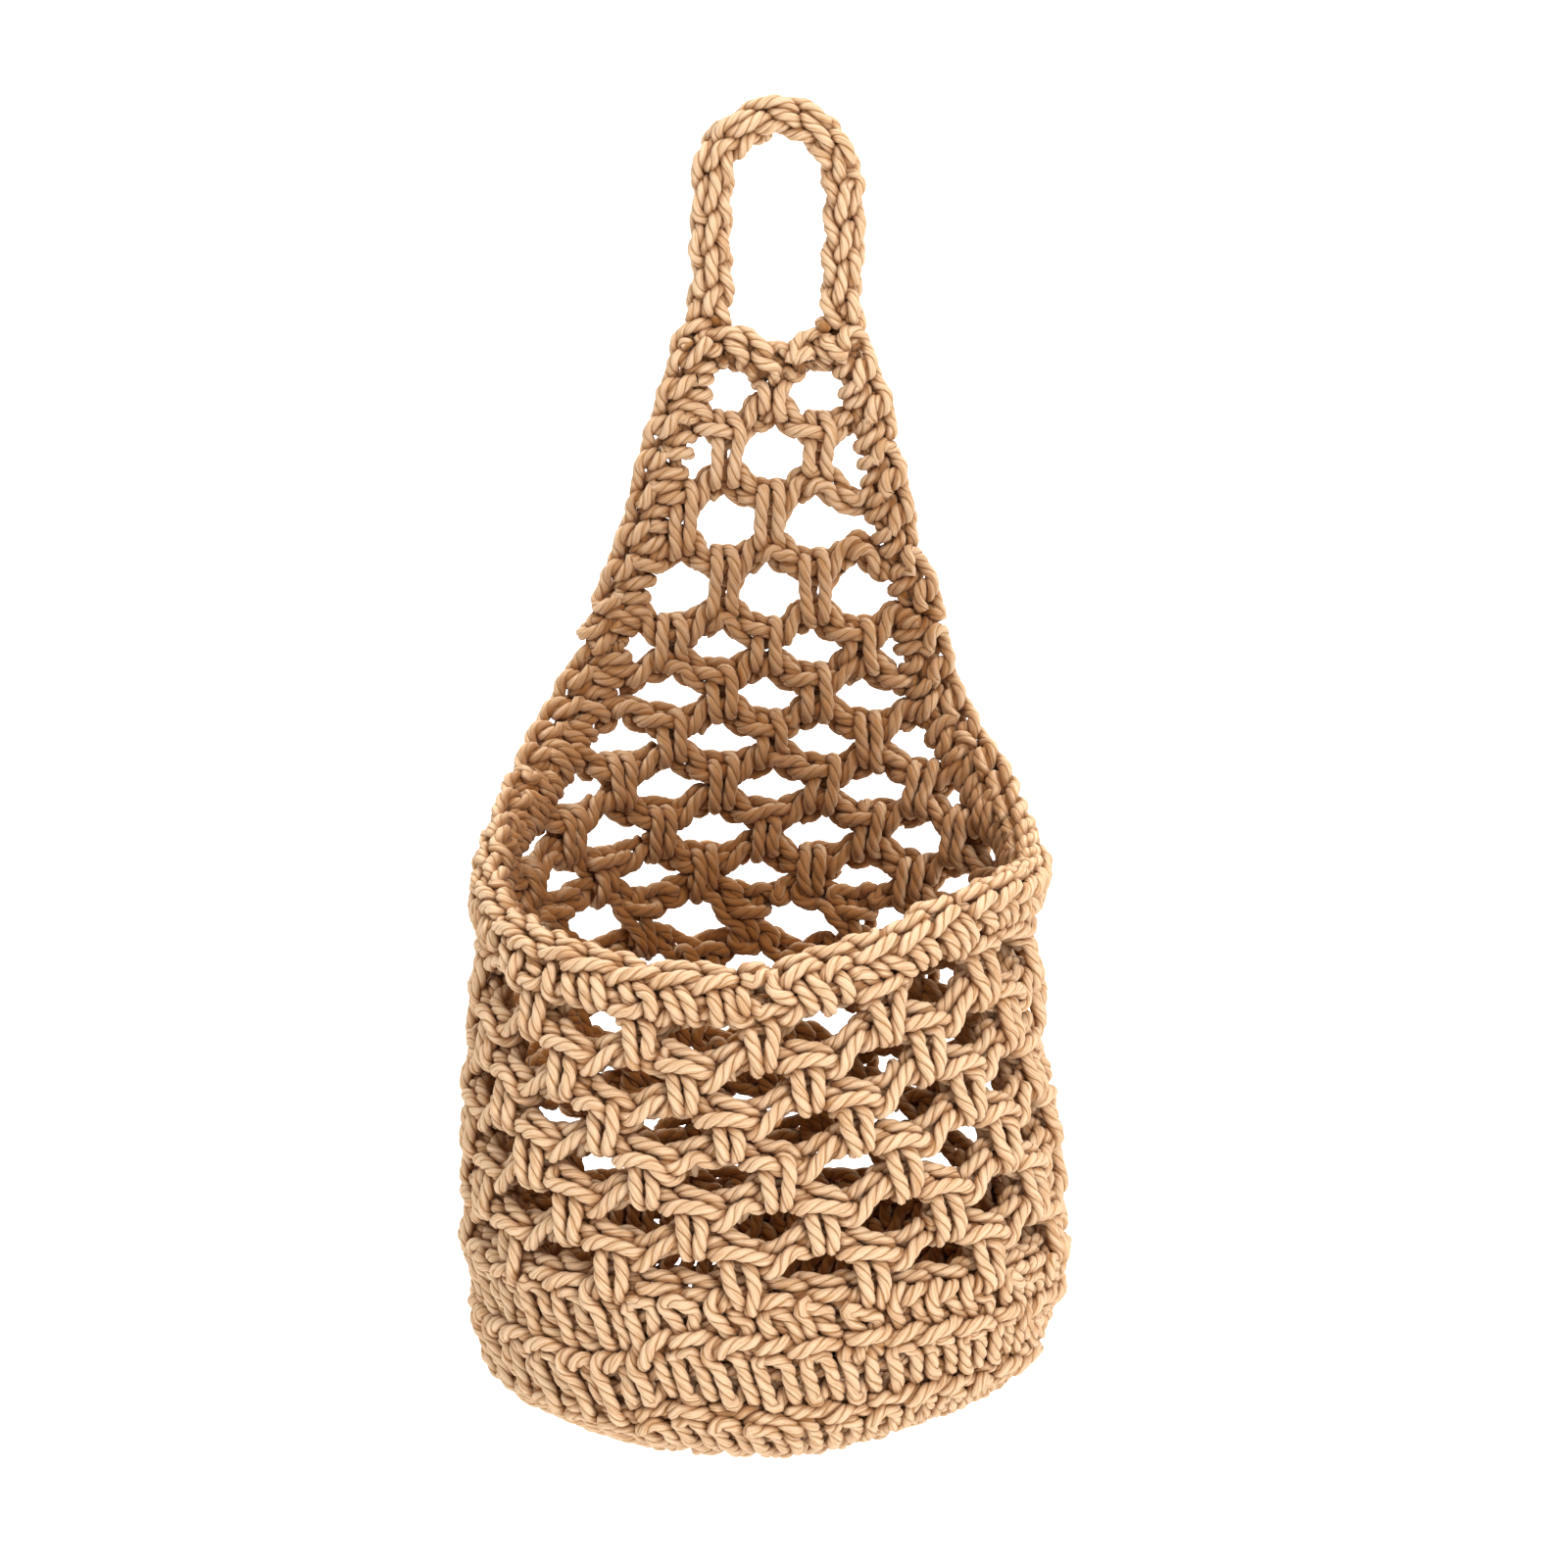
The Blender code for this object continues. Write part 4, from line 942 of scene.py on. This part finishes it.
def close_pairs(places, reach):
    """Index pairs of places that are nearer than reach, found through a grid of cubes."""
    cubes = np.floor(places / reach).astype(np.int64)
    cubes -= cubes.min(axis=0) - 1
    spans = cubes.max(axis=0) + 2
    keys = (cubes[:, 0] * spans[1] + cubes[:, 1]) * spans[2] + cubes[:, 2]
    order = np.argsort(keys, kind="stable")
    ordered = keys[order]
    found = []
    for x, y, z in NEIGHBOURS:
        other = keys + (x * spans[1] + y) * spans[2] + z
        start, end = np.searchsorted(ordered, other, "left"), np.searchsorted(ordered, other, "right")
        for step in range(int((end - start).max(initial=0))):
            has = start + step < end
            first, second = np.nonzero(has)[0], order[start[has] + step]
            if (x, y, z) == (0, 0, 0):
                keep = first < second
                first, second = first[keep], second[keep]
            near = np.linalg.norm(places[first] - places[second], axis=1) < reach
            found.append(np.stack([first[near], second[near]], axis=-1))
    return np.concatenate(found)


def touching(places, cords, reach, same_cord_steps):
    """Pairs of close places, without those that are neighbours on one cord."""
    first, second = close_pairs(places, reach).T
    apart = (cords[first] != cords[second]) | (np.abs(first - second) > same_cord_steps)
    return first[apart], second[apart]


def settle_cords(paths):
    """Pushes places on close cords apart, round after round, and keeps each cord's length and shape."""
    counts = [len(path) for path in paths]
    homes = np.concatenate(paths)
    cords = np.repeat(np.arange(len(paths)), counts)
    joined = cords[1:] == cords[:-1]
    gaps = np.linalg.norm(np.diff(homes, axis=0), axis=1)
    places = homes.copy()
    for turn in range(SETTLE_ROUNDS):
        if turn % SEARCH_EVERY == 0:
            first, second = touching(places, cords, TOUCH * SEARCH_SHARE, SAME_CORD_STEPS)
        between = places[first] - places[second]
        distance = np.linalg.norm(between, axis=1)
        pressed = distance < TOUCH
        share = PUSH_SHARE * (TOUCH / np.maximum(distance[pressed], 1e-5) - 1.0)
        push = np.clip(between[pressed] * share[:, None], -PUSH_LIMIT, PUSH_LIMIT)
        move = np.zeros_like(places)
        np.add.at(move, first[pressed], push)
        np.add.at(move, second[pressed], -push)
        places += move + (homes - places) * HOME_SHARE
        for _ in range(2):
            step = np.diff(places, axis=0)
            length = np.linalg.norm(step, axis=1)
            share = 0.5 * (1.0 - gaps / np.maximum(length, 1e-6))
            fix = step * share[:, None] * joined[:, None] * STRETCH_SHARE
            places[:-1] += fix
            places[1:] -= fix
        inside = np.nonzero(joined[1:] & joined[:-1])[0] + 1
        bend = (places[inside - 1] + places[inside + 1]) / 2.0 - places[inside]
        places[inside] += bend * BEND_SHARE
    still = np.linalg.norm(places[first] - places[second], axis=1) < TOUCH * PRESSED_SHARE
    print("pairs still pressed together:", int(still.sum()), "of", len(first))
    return np.split(places, np.cumsum(counts)[:-1])


settled = settle_cords([path for entry in plan for path in entry[1]])
cord_paths = [smooth_path(path, CORD_STEP) for path in settled]
cord_sweeps = [sweep(path) for path in cord_paths]


# %% [markdown]
# ## Painted shade in the creases
# Where cords press together, and on the side that faces the hollow, shade falls and the cotton looks a
# deeper brown. Lights alone give only part of that, because soft studio light gets in everywhere, so the
# rest is
# painted shade: each place on the skin keeps a number that says how close the next cord is and whether it
# looks into the basket, and the colour is darkened by it.

# %% Painted shade of creases and hollow
# Painted shade: how far past a cord's skin it reaches and how dark it gets where cords touch; for places
# that face into the basket, how dark it is at each height
CREASE_DEPTH, CREASE_STRENGTH = 1.5 * MM, 0.85
CREASE_SAME_CORD_STEPS, MEMORY_PARTS = 6, 8
FACING_SHARE, FACING_BASE = 1.2, 0.2
HOLLOW_HEIGHTS, HOLLOW_SHADES = (-0.235, -0.165, -0.12, -0.085, -0.06), (1.0, 0.75, 0.60, 0.25, 0.0)


def painted_crease_shades(paths, rings):
    """Painted shade for each place on each cord's skin: 0 where it is open and outside, up to 1 where
    another cord presses on it or it lies low in the hollow.
    """
    centres, skins = np.concatenate(paths), np.concatenate(rings)
    cords = np.repeat(np.arange(len(paths)), [len(path) for path in paths])
    reach = 2.0 * CORD_RADIUS + CREASE_DEPTH
    first, second = touching(centres, cords, reach, CREASE_SAME_CORD_STEPS)
    ones, others = np.concatenate([first, second]), np.concatenate([second, first])
    order = np.argsort(ones, kind="stable")
    ones, others = ones[order], others[order]
    # Painted shade where another cord's skin is near
    pressed = np.zeros(skins.shape[:2])
    for part in np.array_split(np.arange(len(ones)), MEMORY_PARTS):
        here, starts = np.unique(ones[part], return_index=True)
        gaps = np.linalg.norm(skins[ones[part]] - centres[others[part]][:, None], axis=2) - CORD_RADIUS
        near = np.maximum.reduceat(1.0 - np.clip(gaps / CREASE_DEPTH, 0.0, 1.0), starts)
        pressed[here] = np.maximum(pressed[here], near)
    outward = (skins - centres[:, None]) / CORD_RADIUS
    inward = np.array([0.0, -BACK_PLANE]) - centres[:, :2]
    inward /= np.maximum(np.linalg.norm(inward, axis=1, keepdims=True), 1e-6)
    facing = (outward[..., :2] * inward[:, None]).sum(axis=2)
    facing = np.clip(facing * FACING_SHARE + FACING_BASE, 0.0, 1.0)
    # Painted shade on places that face into the basket, stronger low down
    hollow = facing * np.interp(centres[:, 2], HOLLOW_HEIGHTS, HOLLOW_SHADES)[:, None]
    shades = 1.0 - (1.0 - CREASE_STRENGTH * smooth(pressed)) * (1.0 - hollow)
    print("skin places:", shades.size, "mean shade:", round(float(shades.mean()), 2))
    return np.split(shades, np.cumsum([len(path) for path in paths])[:-1])


shades = painted_crease_shades(cord_paths, [rings for rings, _ in cord_sweeps])

# %% [markdown]
# ## Pieces that ride with a body and pieces left in place
# The crochet is one fabric, so the rows beside a hinge don't swing as stiff parts. The hanging loop, the
# panel's first row and the panel's side borders are left in place and joined to no body; the body and
# climb of the hinge beside each are listed with them but not used.

# %% Make the pieces
BENDS = {
    "hanging_loop_cord": ("upper_panel", LOOP_HINGE_CLIMB),
    "panel_row_1_cord": ("basket", FOLD_CLIMB),
    "panel_side_left_cord": ("basket", FOLD_CLIMB),
    "panel_side_right_cord": ("basket", FOLD_CLIMB),
}
taken = 0
for name, paths, body, nodes in plan:
    part = slice(taken, taken + len(paths))
    taken += len(paths)
    piece = cord_piece(name, cord_sweeps[part], np.concatenate(shades[part]))
    piece.data.materials.append(COTTON)
    if name in BENDS:
        below, climb = BENDS[name]
        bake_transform(piece)
    else:
        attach(piece, body)
    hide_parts(*nodes)
print("settled cord in m:", round(float(sum(run[-1] for _, run in cord_sweeps)), 1))


# %% [markdown]
# ## Studio
# The basket hangs in front of a white sweep under large soft lights, with the stronger one from the front
# right, as the shading of the cord shows. The camera has a long lens and looks slightly down.

# %% Floor, lights and camera
def plain_material(name, color):
    material = bpy.data.materials.new(name)
    material.use_nodes = True
    shader = material.node_tree.nodes["Principled BSDF"]
    shader.inputs["Base Color"].default_value = (*color, 1.0)
    shader.inputs["Roughness"].default_value = 0.9
    return material


def sweep_floor(low):
    """A floor that curves up into a backdrop behind the object."""
    profile = [(-3.0, 0.0), (1.2, 0.0)]
    for angle in np.linspace(0.1, math.pi / 2.0, 14):
        profile.append((1.2 + 0.8 * math.sin(angle), 0.8 - 0.8 * math.cos(angle)))
    profile.append((2.0, 4.0))
    verts = [(x, y, z + low) for x in (-4.0, 4.0) for y, z in profile]
    count = len(profile)
    faces = [(k, k + count, k + count + 1, k + 1) for k in range(count - 1)]
    mesh = bpy.data.meshes.new("studio_sweep")
    mesh.from_pydata(verts, [], faces)
    mesh.shade_smooth()
    mesh.materials.append(plain_material("studio_white", (0.93, 0.93, 0.93)))
    floor = bpy.data.objects.new("studio_sweep", mesh)
    bpy.context.scene.collection.objects.link(floor)


FLOOR_DROP = 0.15
visual_low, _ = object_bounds()
sweep_floor(min(visual_low.z, cad_low.z) - FLOOR_DROP)


def area_light(name, place, target, size, power, color=(1.0, 1.0, 1.0)):
    light = bpy.data.lights.new(name, "AREA")
    light.shape, light.size, light.energy, light.color = "DISK", size, power, color
    lamp = bpy.data.objects.new(name, light)
    lamp.location = place
    lamp.rotation_euler = (Vector(target) - Vector(place)).to_track_quat("-Z", "Y").to_euler()
    bpy.context.scene.collection.objects.link(lamp)


area_light("key", (0.8, -1.3, 0.6), (0.0, -0.03, -0.2), 0.6, 15.0, (1.0, 0.98, 0.95))
area_light("fill", (-1.4, -1.0, 0.2), (0.0, 0.0, -0.2), 1.0, 2.0)
area_light("overhead", (0.0, 0.2, 2.2), (0.0, 0.3, -0.3), 2.5, 55.0)
area_light("backdrop", (0.0, 0.7, 0.9), (0.0, 2.0, 0.0), 1.2, 25.0)
world = bpy.data.worlds.new("studio")
world.use_nodes = True
world.node_tree.nodes["Background"].inputs["Color"].default_value = (1.0, 1.0, 1.0, 1.0)
world.node_tree.nodes["Background"].inputs["Strength"].default_value = 0.55
bpy.context.scene.world = world
bpy.context.scene.view_settings.view_transform = "Standard"

camera_data = bpy.data.cameras.new("camera")
camera_data.lens, camera_data.sensor_width = 94.5, 36.0
camera_data.clip_start, camera_data.clip_end = 0.05, 20.0
CAMERA_DOWN, CAMERA_ROLL = 6.5, 0.9
camera = bpy.data.objects.new("camera", camera_data)
turn = Matrix.Rotation(math.radians(90.0 - CAMERA_DOWN), 4, "X")
turn = turn @ Matrix.Rotation(math.radians(CAMERA_ROLL), 4, "Z")
camera.matrix_world = Matrix.Translation((0.005, -1.1639, -0.0503)) @ turn
bpy.context.scene.collection.objects.link(camera)
bpy.context.scene.camera = camera
